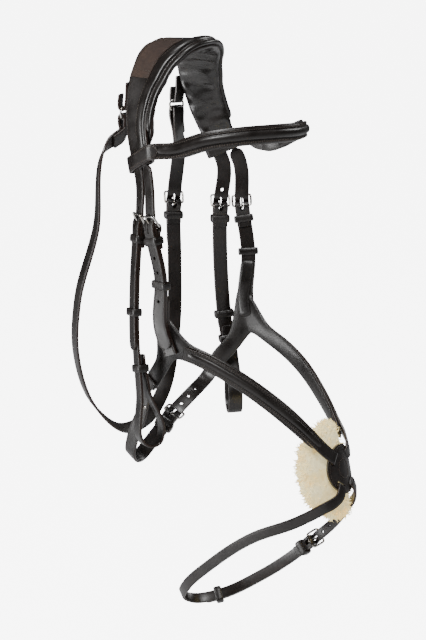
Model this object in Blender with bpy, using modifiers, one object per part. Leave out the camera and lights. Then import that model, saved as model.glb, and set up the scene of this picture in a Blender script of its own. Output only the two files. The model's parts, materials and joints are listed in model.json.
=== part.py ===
"""Grackle bridle, hanging empty from its poll, in metres.

The horse would face -Y, +Z is up, and the origin is the underside of the headpiece at the poll.
Near pieces lie at -X and far pieces at +X. Every strap follows a route, which is a smooth line
with the direction that the strap's outer face looks in, so buckles, keepers, runners and holes
take their place and size from the strap that carries them.
"""
import bpy
import bmesh
from bisect import bisect_right
from math import asin, ceil, cos, floor, pi, radians, sin, sqrt
from mathutils import Matrix, Vector

# Driving dimensions
head_half_width = 0.097
face_reach = 0.210
bridle_drop = 0.625
seat_rise = 0.0047

# Straps
strap_width = 0.016
strap_thickness = 0.0028
chin_strap_width = 0.012
nose_strap_width = 0.014
layer_gap = 0.0003
layer = strap_thickness + layer_gap
strap_step = 0.012
edge_clearance = 0.0006
turn_back = 0.024
punch_radius = 0.0017
end_share = 0.35
tip_row_shares = (0.35, 0.65, 0.88, 1.0)

# Buckles
wire_radius = 0.0014
tongue_radius = 0.0011
buckle_reach = 0.0122
buckle_gap = 0.0005
tongue_overhang = 0.0016
tongue_swing = radians(8)

# Keepers and runners
keeper_length = 0.008
keeper_wall = 0.0015
keeper_drop = 0.0145
runner_play = 0.0008

# Headpiece
crown_thickness = 0.003
crown_padding_thickness = 0.0085
crown_front_half = 0.027
crown_back_half = 0.028
billet_split = 0.0012
piping_radius = 0.0032
panel_thickness = 0.0012

# Rings
ring_radius = 0.0014
ring_height = 0.0135
ring_play = 0.0008
ring_turn = radians(76)
tab_width = 0.0135
tab_length = 0.026

# Browband
browband_width = 0.017
browband_padding_thickness = 0.0045
browband_padding_width = 0.021
loop_play = 0.0009

# Noseband
nose_pad_thickness = 0.005
nose_pad_half = 0.0105
hub_height = 0.050
hub_arm_half = 0.0058
disc_radius = 0.027
disc_thickness = 0.0026
disc_bend_radius = 0.065
disc_lean = radians(12)
slot_clearance = 0.0007
slot_radius = 0.0203
fleece_thickness = 0.015
fleece_half_width = 0.040
fleece_half_height = 0.051
fleece_nose_radius = 0.037

# Bit loops
loop_length = 0.082
loop_width = 0.030
stud_head_radius = 0.0036
stud_height = 0.0058

near, far = -1, 1

for item in list(bpy.data.objects):
    bpy.data.objects.remove(item, do_unlink=True)

parts = bpy.data.collections.new("grackle_bridle")
cutters = bpy.data.collections.new("cutters")
bpy.context.scene.collection.children.link(parts)
bpy.context.scene.collection.children.link(cutters)


def make_material(name, colour, roughness, metallic=0.0):
    material = bpy.data.materials.new(name)
    material.use_nodes = True
    shader = material.node_tree.nodes["Principled BSDF"]
    shader.inputs["Base Color"].default_value = (*colour, 1.0)
    shader.inputs["Roughness"].default_value = roughness
    shader.inputs["Metallic"].default_value = metallic
    material.diffuse_color = (*colour, 1.0)
    return material


black_leather = make_material("black_leather", (0.018, 0.015, 0.014), 0.42)
lining_leather = make_material("lining_leather", (0.030, 0.027, 0.026), 0.55)
brown_panel = make_material("brown_panel", (0.075, 0.042, 0.028), 0.60)
steel = make_material("stainless_steel", (0.62, 0.60, 0.57), 0.24, 1.0)
sheepskin = make_material("sheepskin", (0.82, 0.76, 0.58), 0.95)


class Route:
    """A smooth line through chosen places, with the way that a strap's outer face looks there."""

    samples = 16

    def __init__(self, rows, hand=1):
        places = [Vector(row[0]) for row in rows]
        faces = [Vector(row[1]).normalized() for row in rows]
        spans = [(b - a).length for a, b in zip(places, places[1:])]
        slopes = [(b - a) / span for a, b, span in zip(places, places[1:], spans)]
        tangents = [slopes[0]]
        for before, after, span_in, span_out in zip(slopes, slopes[1:], spans, spans[1:]):
            tangents.append((before * span_out + after * span_in) / (span_in + span_out))
        tangents.append(slopes[-1])
        self.hand = hand
        self.places, self.tangents, self.faces, self.stations = [], [], [], []
        for index, span in enumerate(spans):
            last = index == len(spans) - 1
            for step in range(self.samples + last):
                t = step / self.samples
                self.places.append(
                    places[index] * (2 * t**3 - 3 * t**2 + 1)
                    + tangents[index] * span * (t**3 - 2 * t**2 + t)
                    + places[index + 1] * (3 * t**2 - 2 * t**3)
                    + tangents[index + 1] * span * (t**3 - t**2))
                self.faces.append(faces[index].lerp(faces[index + 1], t))
        total = 0.0
        for index, place in enumerate(self.places):
            if index:
                total += (place - self.places[index - 1]).length
            self.stations.append(total)
            ahead = self.places[min(index + 1, len(self.places) - 1)]
            behind = self.places[max(index - 1, 0)]
            self.tangents.append((ahead - behind).normalized())
        self.length = total

    def at(self, station):
        """Place, direction along the route, outward direction and edge direction at a station."""
        index = min(max(bisect_right(self.stations, station) - 1, 0), len(self.stations) - 2)
        start, end = self.stations[index], self.stations[index + 1]
        t = (station - start) / (end - start)
        share = min(max(t, 0.0), 1.0)
        along = self.tangents[index].lerp(self.tangents[index + 1], share).normalized()
        place = self.places[index].lerp(self.places[index + 1], share)
        place = place + along * (t - share) * (end - start)
        face = self.faces[index].lerp(self.faces[index + 1], share)
        face = (face - along * face.dot(along)).normalized()
        return place, along, face, along.cross(face) * self.hand

    def nearest(self, place):
        """Station of the sampled point that lies nearest to a place."""
        place = Vector(place)
        index = min(range(len(self.places)), key=lambda i: (self.places[i] - place).length)
        return self.stations[index]

    def spot(self, station, lift=0.0):
        place, _, face, _ = self.at(station)
        return place + face * lift


def axes_matrix(x_axis, y_axis, z_axis, origin):
    """Matrix whose columns are three square directions and an origin."""
    matrix = Matrix.Identity(4)
    for column, axis in enumerate((x_axis, y_axis, z_axis, origin)):
        matrix.col[column][:3] = axis
    return matrix


def add_object(name, data, material, matrix=None):
    item = bpy.data.objects.new(name, data)
    data.materials.append(material)
    parts.objects.link(item)
    if matrix is not None:
        item.matrix_world = matrix
    return item


def steps(start, end, step=strap_step):
    """Even stations from start to end, no further apart than a step."""
    count = max(1, ceil(abs(end - start) / step))
    return [start + (end - start) * index / count for index in range(count + 1)]


def shared_steps(origin, start, end):
    """Stations from start to end that fall on whole steps from origin between the two."""
    margin = strap_step / 4
    first = ceil((start + margin - origin) / strap_step)
    last = floor((end - margin - origin) / strap_step)
    inner = [origin + strap_step * count for count in range(first, last + 1)]
    return [start] + inner + [end]


def smooth(share):
    share = min(max(share, 0.0), 1.0)
    return share * share * (3 - 2 * share)


def per_row(value, rows):
    return value if isinstance(value, list) else [value] * rows


def ribbon(name, route, path, half, thickness, material, across=1, back=None, leans=None):
    """A flat band on a route. path holds (station, lift) pairs, half the half width to the front.

    leans may hold the direction that each row takes on its front side."""
    rows = len(path)
    front_halves = per_row(half, rows)
    back_halves = front_halves if back is None else per_row(back, rows)
    band = bmesh.new()
    bmesh.ops.create_grid(band, x_segments=rows - 1, y_segments=across, size=1.0)
    for vertex in band.verts:
        row = round((vertex.co.x + 1) / 2 * (rows - 1))
        share = vertex.co.y
        station, lift = path[row]
        place, _, face, edge = route.at(station)
        reach = front_halves[row] if share > 0 else back_halves[row]
        if leans is not None and share > 0:
            edge = leans[row]
        vertex.co = place + face * lift + edge * (reach * share)
    mesh = bpy.data.meshes.new(name)
    band.to_mesh(mesh)
    band.free()
    item = add_object(name, mesh, material)
    wall = item.modifiers.new("thickness", "SOLIDIFY")
    wall.thickness = thickness
    wall.offset = 0.0
    wall.use_even_offset = True
    return item


def soften(item):
    """Rounds a cushion's edges and swells it between them."""
    smoother = item.modifiers.new("round", "SUBSURF")
    smoother.levels = 1
    smoother.render_levels = 1
    for polygon in item.data.polygons:
        polygon.use_smooth = True
    return item


def wire(name, points, radius, material, matrix, cyclic=False, resolution=2):
    """A bent wire through local points, closed or with filled ends."""
    curve = bpy.data.curves.new(name, "CURVE")
    curve.dimensions = "3D"
    curve.bevel_depth = radius
    curve.bevel_resolution = resolution
    curve.use_fill_caps = not cyclic
    spline = curve.splines.new("POLY")
    spline.points.add(len(points) - 1)
    for point, place in zip(spline.points, points):
        point.co = (*place, 1.0)
    spline.use_cyclic_u = cyclic
    return add_object(name, curve, material, matrix)


def rounded_rectangle(half_x, half_y, corner, steps_per_corner=2):
    """Corner arcs of a rectangle, anticlockwise, as flat points."""
    points = []
    for quarter, (sign_x, sign_y) in enumerate(((1, 1), (-1, 1), (-1, -1), (1, -1))):
        for step in range(steps_per_corner + 1):
            angle = (quarter + step / steps_per_corner) * pi / 2
            points.append((sign_x * (half_x - corner) + corner * cos(angle),
                           sign_y * (half_y - corner) + corner * sin(angle), 0.0))
    return points


def plate(name, outlines, thickness, material, matrix):
    """A flat plate from closed outlines, where an inner outline leaves a hole."""
    curve = bpy.data.curves.new(name, "CURVE")
    curve.dimensions = "2D"
    curve.fill_mode = "BOTH"
    curve.extrude = thickness / 2
    for outline in outlines:
        spline = curve.splines.new("POLY")
        spline.points.add(len(outline) - 1)
        for point, place in zip(spline.points, outline):
            point.co = (*place, 1.0)
        spline.use_cyclic_u = True
    return add_object(name, curve, material, matrix)


def cut(item, cutter):
    cutter.hide_render = True
    cutter.display_type = "WIRE"
    boolean = item.modifiers.new("cut", "BOOLEAN")
    boolean.operation = "DIFFERENCE"
    boolean.object = cutter
    return item


def oval_cutter(name, matrices, half_x, half_y, half_z, sides=10):
    """Oval punches, one at each matrix, whose axis is the matrix's Z."""
    mesh_data = bmesh.new()
    for matrix in matrices:
        made = bmesh.ops.create_cone(mesh_data, cap_ends=True, segments=sides,
                                     radius1=1, radius2=1, depth=2)
        shape = matrix @ Matrix.Diagonal((half_x, half_y, half_z, 1))
        bmesh.ops.transform(mesh_data, matrix=shape, verts=made["verts"])
    mesh = bpy.data.meshes.new(name)
    mesh_data.to_mesh(mesh)
    mesh_data.free()
    cutter = bpy.data.objects.new(name, mesh)
    cutters.objects.link(cutter)
    return cutter


def punch(item, route, places):
    """Round holes through a strap at (station, lift) pairs."""
    matrices = []
    for station, lift in places:
        place, along, face, _ = route.at(station)
        matrices.append(axes_matrix(along.cross(face), along, face, place + face * lift))
    size = punch_radius
    return cut(item, oval_cutter(item.name + "_punch", matrices, size, size, strap_thickness))


def pointed(stations, tip, half):
    """Half widths along a strap whose end at tip is rounded."""
    widths = []
    for station in stations:
        reach = min(abs(station - tip) / half, 1.0)
        widths.append(half * max(sqrt(1 - (1 - reach) ** 2), end_share))
    return widths


def keeper(name, route, station, low, high, width, play=layer_gap, length=keeper_length):
    """A closed leather loop round the layers of a strap that lie between two lifts."""
    place, _, face, edge = route.at(station)
    inner_x = width / 2 + edge_clearance + play
    inner_y = (high - low) / 2 + play
    corner = keeper_wall
    inner = rounded_rectangle(inner_x, inner_y, corner / 2, 1)
    outer = rounded_rectangle(inner_x + keeper_wall, inner_y + keeper_wall, corner * 3 / 2, 2)
    centre = place + face * (low + high) / 2
    matrix = axes_matrix(edge, face, edge.cross(face), centre)
    return plate(name, (outer, inner), length, black_leather, matrix)


# Buckled joints
# A billet comes down under the bar of the buckle that the tongue rests on, over the fold of the
# strap that holds the buckle, and on through keepers. That strap's end is turned back behind it.
bar_lift = -(strap_thickness / 2 + buckle_gap + wire_radius)
rest_bar_lift = strap_thickness / 2 + buckle_gap + wire_radius
bar_to_bar = sqrt(buckle_reach**2 + (rest_bar_lift - bar_lift) ** 2)
buckle_tilt = asin((rest_bar_lift - bar_lift) / bar_to_bar)
tongue_lift = wire_radius + layer_gap + tongue_radius
fold_radius = wire_radius + layer_gap + strap_thickness / 2
fold_steps = 8
slot_half = tongue_radius + edge_clearance
crossing_share = 0.42
hole_share = 0.40
slot_wide_share = 1.5
bend_row_shares = (0.2, 0.4, 0.6, 0.8)
turn_back_shares = ((1.0, 0.0), (0.7, 0.0), (0.42, 0.0), (0.3, 0.25), (0.2, 0.7), (0.1, 1.0))


def buckle_matrix(route, station):
    """Origin on the bar that carries the buckle, Y to the other bar, Z outward."""
    place, along, face, _ = route.at(station)
    upward = -along * cos(buckle_tilt) + face * sin(buckle_tilt)
    outward = face * cos(buckle_tilt) + along * sin(buckle_tilt)
    return axes_matrix(upward.cross(outward), upward, outward, place + face * bar_lift)


def billet_path(buckle_at, start, end):
    """Billet under the rest bar, then one layer proud of the strap that holds the buckle."""
    bend_start = buckle_at - buckle_reach + wire_radius + layer_gap
    bend_end = buckle_at - wire_radius
    path = [(station, 0.0) for station in steps(start, bend_start)]
    for share in bend_row_shares:
        path.append((bend_start + (bend_end - bend_start) * share, layer * smooth(share)))
    tip_start = end - strap_width / 2
    path += [(station, layer) for station in shared_steps(buckle_at, bend_end, tip_start)]
    for share in tip_row_shares:
        path.append((tip_start + (end - tip_start) * share, layer))
    return path



def strap_below(buckle_at, end):
    """The strap's own level from below its buckle to an end, on the rows its billet uses."""
    return [(station, 0.0) for station in shared_steps(buckle_at, buckle_at + strap_step / 2, end)]


def turned_back_end(buckle_at):
    """The end behind the strap, its fold round the bar, and back to the strap's own level."""
    behind = bar_lift - fold_radius
    path = [(buckle_at + turn_back * share, -layer + (behind + layer) * rise)
            for share, rise in turn_back_shares]
    for step in range(fold_steps + 1):
        angle = pi * step / fold_steps
        path.append((buckle_at - fold_radius * sin(angle), bar_lift - fold_radius * cos(angle)))
    return path


def add_buckle(prefix, route, buckle_at, width):
    """Buckle frame and its tongue. The tongue's origin lies on the bar that it turns on."""
    matrix = buckle_matrix(route, buckle_at)
    half_x = width / 2 + edge_clearance * 2 + wire_radius
    outline = [(x, y + bar_to_bar / 2, z)
               for x, y, z in rounded_rectangle(half_x, bar_to_bar / 2, wire_radius * 3 / 2)]
    wire(prefix + "_buckle", outline, wire_radius, steel, matrix, cyclic=True)
    points = []
    for angle in (-12, -60, -110, -160, -215, -270):
        points.append((0.0, tongue_lift * cos(radians(angle)), tongue_lift * sin(radians(angle))))
    tip = bar_to_bar + wire_radius + tongue_overhang
    points += [(0.0, tip * share, tongue_lift) for share in (0.3, 0.65, 1.0)]
    wire(prefix + "_tongue", points, tongue_radius, steel, matrix, resolution=1)
    return matrix


def tongue_holes(prefix, matrix, billet, chape):
    """The long hole in the billet and the slot in the fold that the tongue works in."""
    crossing = bar_to_bar * crossing_share
    swing = crossing * sin(tongue_swing)
    centre = Matrix.Translation((0.0, crossing, tongue_lift + swing / 2))
    cut(billet, oval_cutter(prefix + "_hole", [matrix @ centre], slot_half,
                            bar_to_bar * hole_share, strap_width / 2, sides=12))
    reach = fold_radius + strap_thickness + layer_gap
    cut(chape, oval_cutter(prefix + "_slot", [matrix], slot_half * slot_wide_share,
                           reach, reach, sides=8))


def add_pair(prefix, route, buckle_at, billet, strap, width):
    """Buckle, tongue, their holes and the fixed keeper of one buckled joint."""
    matrix = add_buckle(prefix, route, buckle_at, width)
    tongue_holes(prefix, matrix, billet, strap)
    low, high = -layer - strap_thickness / 2, layer + strap_thickness / 2
    keeper(prefix + "_keeper", route, buckle_at + keeper_drop, low, high, width)


def along_route(start, end, lift=0.0):
    return [(station, lift) for station in steps(start, end)]


def place_of(side, shares):
    """A place from its shares of the half width, the reach to the front and the drop."""
    across, forward, drop = shares
    return Vector((side * across * head_half_width, -forward * face_reach,
                   seat_rise - drop * bridle_drop))


def facing(side, vector):
    return Vector((side * vector[0], vector[1], vector[2]))


# Headpiece
# A wide leather band over the poll, lined with a cushion, its front edge rolled over a piping.
crown_shares = (
    ((0.00, 0.09, -0.009), (0.00, 0.00, 1.00)),
    ((0.27, 0.07, -0.003), (0.30, 0.02, 0.95)),
    ((0.47, 0.035, 0.015), (0.72, 0.05, 0.70)),
    ((0.62, 0.01, 0.049), (0.89, 0.15, 0.42)),
    ((0.75, 0.00, 0.090), (0.92, 0.30, 0.28)),
    ((0.86, 0.015, 0.131), (0.88, 0.42, 0.22)),
    ((0.94, 0.05, 0.170), (0.86, 0.50, 0.16)),
    ((0.99, 0.08, 0.199), (0.86, 0.51, 0.08)),
)
crown_rows = [(place_of(near, place), facing(near, face)) for place, face in crown_shares[:0:-1]]
crown_rows += [(place_of(far, place), facing(far, face)) for place, face in crown_shares]
crown_route = Route(crown_rows)
crown_half_length = crown_route.length / 2
billets_half = strap_width + billet_split / 2

crown_front_shares = ((0.0, 1.0), (0.2, 0.85), (0.4, 0.45), (0.57, 0.14), (0.75, 0.0), (1.0, 0.0))
crown_back_shares = ((0.0, 1.0), (0.2, 0.88), (0.4, 0.50), (0.6, 0.15), (0.8, 0.0), (1.0, 0.0))
crown_step = 0.0125
padding_end_share = 0.86
piping_end_share = 0.80
piping_lift_share = -0.6
panel_near_share = 0.50
panel_far_share = 0.06
panel_front_share = 0.30
panel_back_share = 0.86


def from_table(table, share):
    """Value read off a table of (share, value) pairs by an eased step between its rows."""
    for (share_a, value_a), (share_b, value_b) in zip(table, table[1:]):
        if share <= share_b:
            return value_a + (value_b - value_a) * smooth((share - share_a) / (share_b - share_a))
    return table[-1][1]


def crown_front(station):
    share = abs(station - crown_half_length) / crown_half_length
    return billets_half + (crown_front_half - billets_half) * from_table(crown_front_shares, share)


def crown_back(station):
    share = abs(station - crown_half_length) / crown_half_length
    return billets_half + (crown_back_half - billets_half) * from_table(crown_back_shares, share)


def crown_station(side, share):
    """Station on the headpiece at a share of the way from the poll to one of its ends."""
    return crown_half_length * (1 + side * share)


def between(stations, first, last):
    return [station for station in stations if first <= station <= last]


def add_crown():
    stations = steps(0.0, crown_route.length, crown_step)
    ribbon("crown_leather", crown_route, [(station, 0.0) for station in stations],
           [crown_front(station) for station in stations], crown_thickness, black_leather,
           across=2, back=[crown_back(station) for station in stations])
    lift = -(crown_thickness + crown_padding_thickness) / 2 - layer_gap
    first, last = crown_station(near, padding_end_share), crown_station(far, padding_end_share)
    rows = between(stations, first, last)
    padding = ribbon("crown_padding", crown_route, [(station, lift) for station in rows],
                     [crown_front(station) for station in rows], crown_padding_thickness,
                     lining_leather, across=2, back=[crown_back(station) for station in rows])
    soften(padding)
    edge_lift = piping_lift_share * crown_thickness
    points = []
    for station in between(stations, crown_station(near, piping_end_share),
                           crown_station(far, piping_end_share)):
        place, _, face, edge = crown_route.at(station)
        out = crown_front(station) + piping_radius + layer_gap * 2
        points.append(place + edge * out + face * edge_lift)
    wire("crown_piping", points, piping_radius, black_leather, Matrix.Identity(4))
    rows = between(stations, crown_station(near, panel_near_share),
                   crown_station(near, panel_far_share))
    lift = (crown_thickness + panel_thickness) / 2 + layer_gap * 2
    ribbon("crown_panel", crown_route, [(station, lift) for station in rows],
           [crown_front(station) * panel_front_share for station in rows], panel_thickness,
           brown_panel, across=2, back=[crown_back(station) * panel_back_share for station in rows])


add_crown()

# Throatlatch rings
# A tab sewn down the back edge of the headpiece holds each ring by its straight bar.
tab_station_share = 0.47
tab_lean_share = 0.08
ring_sag_share = 0.14
ring_gauge = ring_radius + ring_play + strap_thickness / 2


def ring_back(side):
    """The level direction that a ring and its tab face in."""
    return Vector((side * cos(ring_turn), sin(ring_turn), 0.0))


def tab_route(side):
    """From the top of the tab on the headpiece's back edge down to the bar of the ring."""
    station = crown_station(side, tab_station_share)
    place, _, face, edge = crown_route.at(station)
    level = -(crown_padding_thickness - crown_thickness) / 2
    back = ring_back(side)
    seat = place - edge * crown_back(station) + face * level + back * (strap_thickness + layer_gap)
    low = seat + Vector((0.0, tab_length * tab_lean_share, -tab_length))
    return Route([(seat, back), ((seat + low) / 2, back), (low, back)], hand=side)


def add_ring(side, prefix):
    route = tab_route(side)
    bar_at = route.length
    lift = ring_gauge
    path = along_route(0.0, bar_at)
    for step in range(1, fold_steps + 1):
        angle = pi * step / fold_steps
        path.append((bar_at + ring_gauge * sin(angle), lift - ring_gauge * cos(angle)))
    path.append((bar_at - tab_length / 2, lift + ring_gauge))
    ribbon(prefix + "_ring_tab", route, path, tab_width / 2, strap_thickness, black_leather)
    centre = route.spot(bar_at, lift)
    half_x = strap_width / 2 + edge_clearance * 3 + ring_radius
    outline = [(-half_x, 0.0, 0.0), (-half_x, -ring_height * 2 / 3, 0.0)]
    for share in (-0.8, -0.4, 0.0, 0.4, 0.8):
        sag = ring_height * (1 - share * share * ring_sag_share)
        outline.append((half_x * share, -sag, 0.0))
    outline += [(half_x, -ring_height * 2 / 3, 0.0), (half_x, 0.0, 0.0)]
    up = Vector((0.0, 0.0, 1.0))
    back = ring_back(side)
    matrix = axes_matrix(up.cross(back), up, back, centre)
    wire(prefix + "_ring", outline, ring_radius, steel, matrix, cyclic=True)
    return centre


near_bar = add_ring(near, "near")
far_bar = add_ring(far, "far")

# Throatlatch
# The billet hangs from the far ring, and the strap goes on under the throat to the near ring.
throat_shares = (
    ((0.89, -0.19, 0.192), (0.60, 0.80, 0.00)),
    ((0.93, -0.235, 0.297), (0.77, 0.64, 0.00)),
    ((0.93, -0.23, 0.400), (0.77, 0.64, 0.00)),
    ((0.86, -0.22, 0.528), (0.72, 0.66, -0.20)),
    ((0.60, -0.22, 0.640), (0.50, 0.62, -0.60)),
    ((0.21, -0.23, 0.682), (0.10, 0.56, -0.82)),
    ((-0.21, -0.26, 0.686), (-0.15, 0.56, -0.80)),
    ((-0.62, -0.33, 0.630), (-0.60, 0.60, -0.50)),
    ((-0.88, -0.355, 0.531), (-0.78, 0.62, -0.10)),
    ((-0.97, -0.315, 0.437), (-0.79, 0.61, 0.00)),
    ((-0.97, -0.20, 0.309), (-0.77, 0.64, 0.00)),
    ((-0.90, -0.16, 0.170), (-0.60, 0.80, 0.00)),
)


def ring_seat(bar, side):
    """Centre of the ring's lower wire, and the way that the strap there faces."""
    return bar - Vector((0.0, 0.0, ring_height)), ring_back(side)


def below(row):
    """The same row one fold lower, so that the strap hangs straight where it is folded."""
    place, face = row
    return place - Vector((0.0, 0.0, fold_radius * 3)), face


throat_rows = [ring_seat(far_bar, far), below(ring_seat(far_bar, far))]
throat_rows += [(place_of(far, place), face) for place, face in throat_shares]
throat_rows += [below(ring_seat(near_bar, near)), ring_seat(near_bar, near)]
throat_route = Route(throat_rows)
throat_buckle_at = throat_route.nearest(place_of(far, throat_shares[1][0]))
throat_tail = 0.052
hang_length = 0.034


def ring_hanger(end, direction):
    """A strap end folded over a ring's wire and sewn to the strap's back, as (station, lift)."""
    top = ring_height * ring_sag_share
    path = [(end + direction * hang_length, -layer), (end + direction * hang_length / 2, -layer)]
    path.append((end + direction * fold_radius * 2, -fold_radius))
    for step in range(fold_steps + 1):
        angle = pi * step / fold_steps
        path.append((end - direction * (top + fold_radius * sin(angle)),
                     -fold_radius * cos(angle)))
    path.append((end + direction * fold_radius * 2, fold_radius))
    return path


def add_throatlatch():
    path = ring_hanger(0.0, 1)
    path += billet_path(throat_buckle_at, hang_length / 2, throat_buckle_at + throat_tail)
    halves = pointed([station for station, _ in path], throat_buckle_at + throat_tail,
                     strap_width / 2)
    billet = ribbon("throat_billet", throat_route, path, halves, strap_thickness, black_leather)
    path = turned_back_end(throat_buckle_at)
    end = throat_route.length
    path += strap_below(throat_buckle_at, end - hang_length / 2)
    path += reversed(ring_hanger(end, -1))
    strap = ribbon("throat_strap", throat_route, path, strap_width / 2, strap_thickness,
                   black_leather)
    add_pair("throat", throat_route, throat_buckle_at, billet, strap, strap_width)


add_throatlatch()

# Browband
# One strap across the brow, each end turned round the headpiece and sewn back as a loop.
brow_shares = {
    near: (((1.04, 0.28, 0.166), (0.96, -0.18, 0.10)),
           ((0.95, 0.42, 0.151), (0.86, -0.48, 0.08)),
           ((0.73, 0.57, 0.143), (0.66, -0.74, 0.06)),
           ((0.39, 0.68, 0.141), (0.33, -0.93, 0.04))),
    far: (((1.04, 0.28, 0.182), (0.96, -0.18, 0.10)),
          ((0.96, 0.42, 0.171), (0.86, -0.48, 0.08)),
          ((0.74, 0.57, 0.151), (0.66, -0.74, 0.06)),
          ((0.39, 0.68, 0.142), (0.33, -0.93, 0.04))),
}
brow_middle_share = (0.0, 0.72, 0.142)
loop_lift = crown_thickness / 2 + loop_play + strap_thickness / 2
loop_station_share = 1.0 - (browband_width / 2 + layer_gap * 2) / crown_half_length
loop_span = 2 * (billets_half + loop_play)
loop_sewn = 0.015
padding_end_width_share = 0.6
brow_padding_step = 0.018


def brow_end(side):
    """Rows from the back of the loop on one side to the strap's start in front of it."""
    place, _, face, edge = crown_route.at(crown_station(side, loop_station_share))
    back = place + face * loop_lift - edge * loop_span / 2
    return [(back, face), (back + edge * loop_span, face),
            (back + edge * (loop_span + loop_lift), face)]


def add_browband():
    far_rows = brow_end(far) + [(place_of(far, place), facing(far, face))
                                for place, face in brow_shares[far]]
    near_rows = brow_end(near) + [(place_of(near, place), facing(near, face))
                                  for place, face in brow_shares[near]]
    middle = [(place_of(far, brow_middle_share), Vector((0.0, -1.0, 0.0)))]
    route = Route(near_rows + middle + far_rows[::-1])
    inner = -2 * loop_lift
    turn = [(loop_span + loop_sewn, -layer), (loop_span + loop_lift * 2, -layer),
            (loop_span + loop_lift, (inner - layer) / 2), (loop_span, inner),
            (loop_span / 2, inner), (0.0, inner)]
    for step in range(1, fold_steps):
        angle = pi * step / fold_steps
        turn.append((-loop_lift * sin(angle), -loop_lift - loop_lift * cos(angle)))
    other = [(route.length - station, lift) for station, lift in turn]
    path = turn + along_route(0.0, loop_span) + along_route(
        loop_span + strap_step / 2, route.length - loop_span - strap_step / 2)
    path += along_route(route.length - loop_span, route.length) + other[::-1]
    ribbon("browband", route, path, browband_width / 2, strap_thickness, black_leather)
    lift = -(strap_thickness + browband_padding_thickness) / 2 - layer_gap * 2
    start = loop_span + loop_sewn + strap_step
    rows = steps(start, route.length - start, brow_padding_step)
    halves = []
    for station in rows:
        end_distance = min(station - start, route.length - start - station)
        halves.append(browband_padding_width / 2 * (padding_end_width_share + (
            1 - padding_end_width_share) * smooth(end_distance / browband_width)))
    soften(ribbon("browband_padding", route, [(station, lift) for station in rows], halves,
                  browband_padding_thickness, lining_leather, across=2))


add_browband()

# Bridle cheeks
# Each billet is sewn to the headpiece under the browband loop. The strap below it ends in a long
# loop for a bit ring, which closes on a hook stud and goes up through a keeper.
root_gap = 0.0008
root_straight = 0.005
buckle_row_share = (1.01, 0.10, 0.298)
buckle_spread = strap_width + 4 * edge_clearance + 4 * wire_radius + layer_gap * 3
cheek_face = (0.79, 0.62, 0.00)
cheek_shares = ((0.99, 0.04, 0.392), (1.04, 0.05, 0.496), (1.08, 0.08, 0.584), (1.09, 0.09, 0.680))
cheek_tail = {near: 0.134, far: 0.147}
cheek_runner_drop = {near: 0.093, far: 0.126}
hole_rise = 0.0185
loop_shares = (
    (0.12, 0.00), (0.35, 0.00), (0.53, 0.05), (0.71, 0.10), (0.84, 0.08), (0.93, -0.05),
    (0.98, -0.25), (0.98, -0.50), (0.94, -0.68), (0.85, -0.78), (0.73, -0.80), (0.59, -0.69),
    (0.44, -0.49), (0.28, -0.31), (0.13, -0.255))
loop_tip = 0.019
tip_share = 0.7
stud_drop_share = 0.47
stud_lift_share = 0.03
turned_stud_shares = ((0.0, 1.0), (0.60, 0.97), (0.68, 0.86), (0.45, 0.70), (0.36, 0.30),
                      (1.0, 0.16), (1.0, 0.0), (0.0, 0.0))


def crown_end(side):
    """The end of the headpiece: place, downward direction, outward face and front direction."""
    place, along, face, edge = crown_route.at(crown_station(side, 1.0))
    return place, along * side, face, edge


def buckle_row(side, towards_front):
    """Where a billet's buckle sits beside its neighbour's, so that their frames stay clear."""
    _, _, face, edge = crown_end(side)
    level_edge = Vector((edge.x, edge.y, 0.0)).normalized()
    return place_of(side, buckle_row_share) + level_edge * towards_front * buckle_spread / 2


def turned(name, profile, material, matrix, sides=12):
    """A turned piece from (radius, height) pairs that run from the top of its axis down."""
    mesh = bpy.data.meshes.new(name)
    mesh.from_pydata([(radius, 0.0, height) for radius, height in profile],
                     [(index, index + 1) for index in range(len(profile) - 1)], [])
    item = add_object(name, mesh, material, matrix)
    screw = item.modifiers.new("turn", "SCREW")
    screw.steps = sides
    screw.render_steps = sides
    screw.use_merge_vertices = True
    screw.merge_threshold = layer_gap / 10
    return item


def add_runner(name, route, station, width):
    """A loose loop that slides on the strap and the billet's tail."""
    low, high = -strap_thickness / 2, layer + strap_thickness / 2
    keeper(name, route, station, low, high, width, play=runner_play)


def add_cheek(side, prefix):
    end, down, crown_face, edge = crown_end(side)
    offset = (strap_width + billet_split) / 2
    root = end - edge * offset + down * root_gap
    face = facing(side, cheek_face)
    rows = [(root, crown_face), (root + down * root_straight, crown_face)]
    rows += [(buckle_row(side, -1), face)]
    rows += [(place_of(side, place), face) for place in cheek_shares]
    route = Route(rows, hand=side)
    buckle_at = route.nearest(rows[2][0])
    tip = buckle_at + cheek_tail[side]
    path = billet_path(buckle_at, 0.0, tip)
    halves = pointed([station for station, _ in path], tip, strap_width / 2)
    billet = ribbon(prefix + "_billet", route, path, halves, strap_thickness, black_leather)
    punch(billet, route, [(buckle_at - hole_rise, 0.0)])
    top = route.length - loop_length
    inner = -2 * layer
    path = turned_back_end(buckle_at) + strap_below(buckle_at, top)
    path += [(top + along * loop_length, out * loop_width) for along, out in loop_shares]
    path += [(top, inner), (top - loop_tip, inner)]
    halves = [strap_width / 2] * (len(path) - 1) + [strap_width / 2 * tip_share]
    strap = ribbon(prefix + "_strap", route, path, halves, strap_thickness, black_leather)
    add_pair(prefix, route, buckle_at, billet, strap, strap_width)
    add_runner(prefix + "_runner", route, buckle_at + cheek_runner_drop[side], strap_width)
    keeper(prefix + "_loop_keeper", route, top - keeper_length / 2, inner - strap_thickness / 2,
           strap_thickness / 2, strap_width)
    place, along, face, _ = route.at(top + loop_length * stud_drop_share)
    lift = loop_width * stud_lift_share - strap_thickness / 2 - layer_gap
    matrix = axes_matrix(along, along.cross(face), -face, place + face * lift)
    turned(prefix + "_stud", [(radius * stud_head_radius, height * stud_height)
                              for radius, height in turned_stud_shares], steel, matrix)


add_cheek(near, "near_cheek")
add_cheek(far, "far_cheek")

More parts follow.
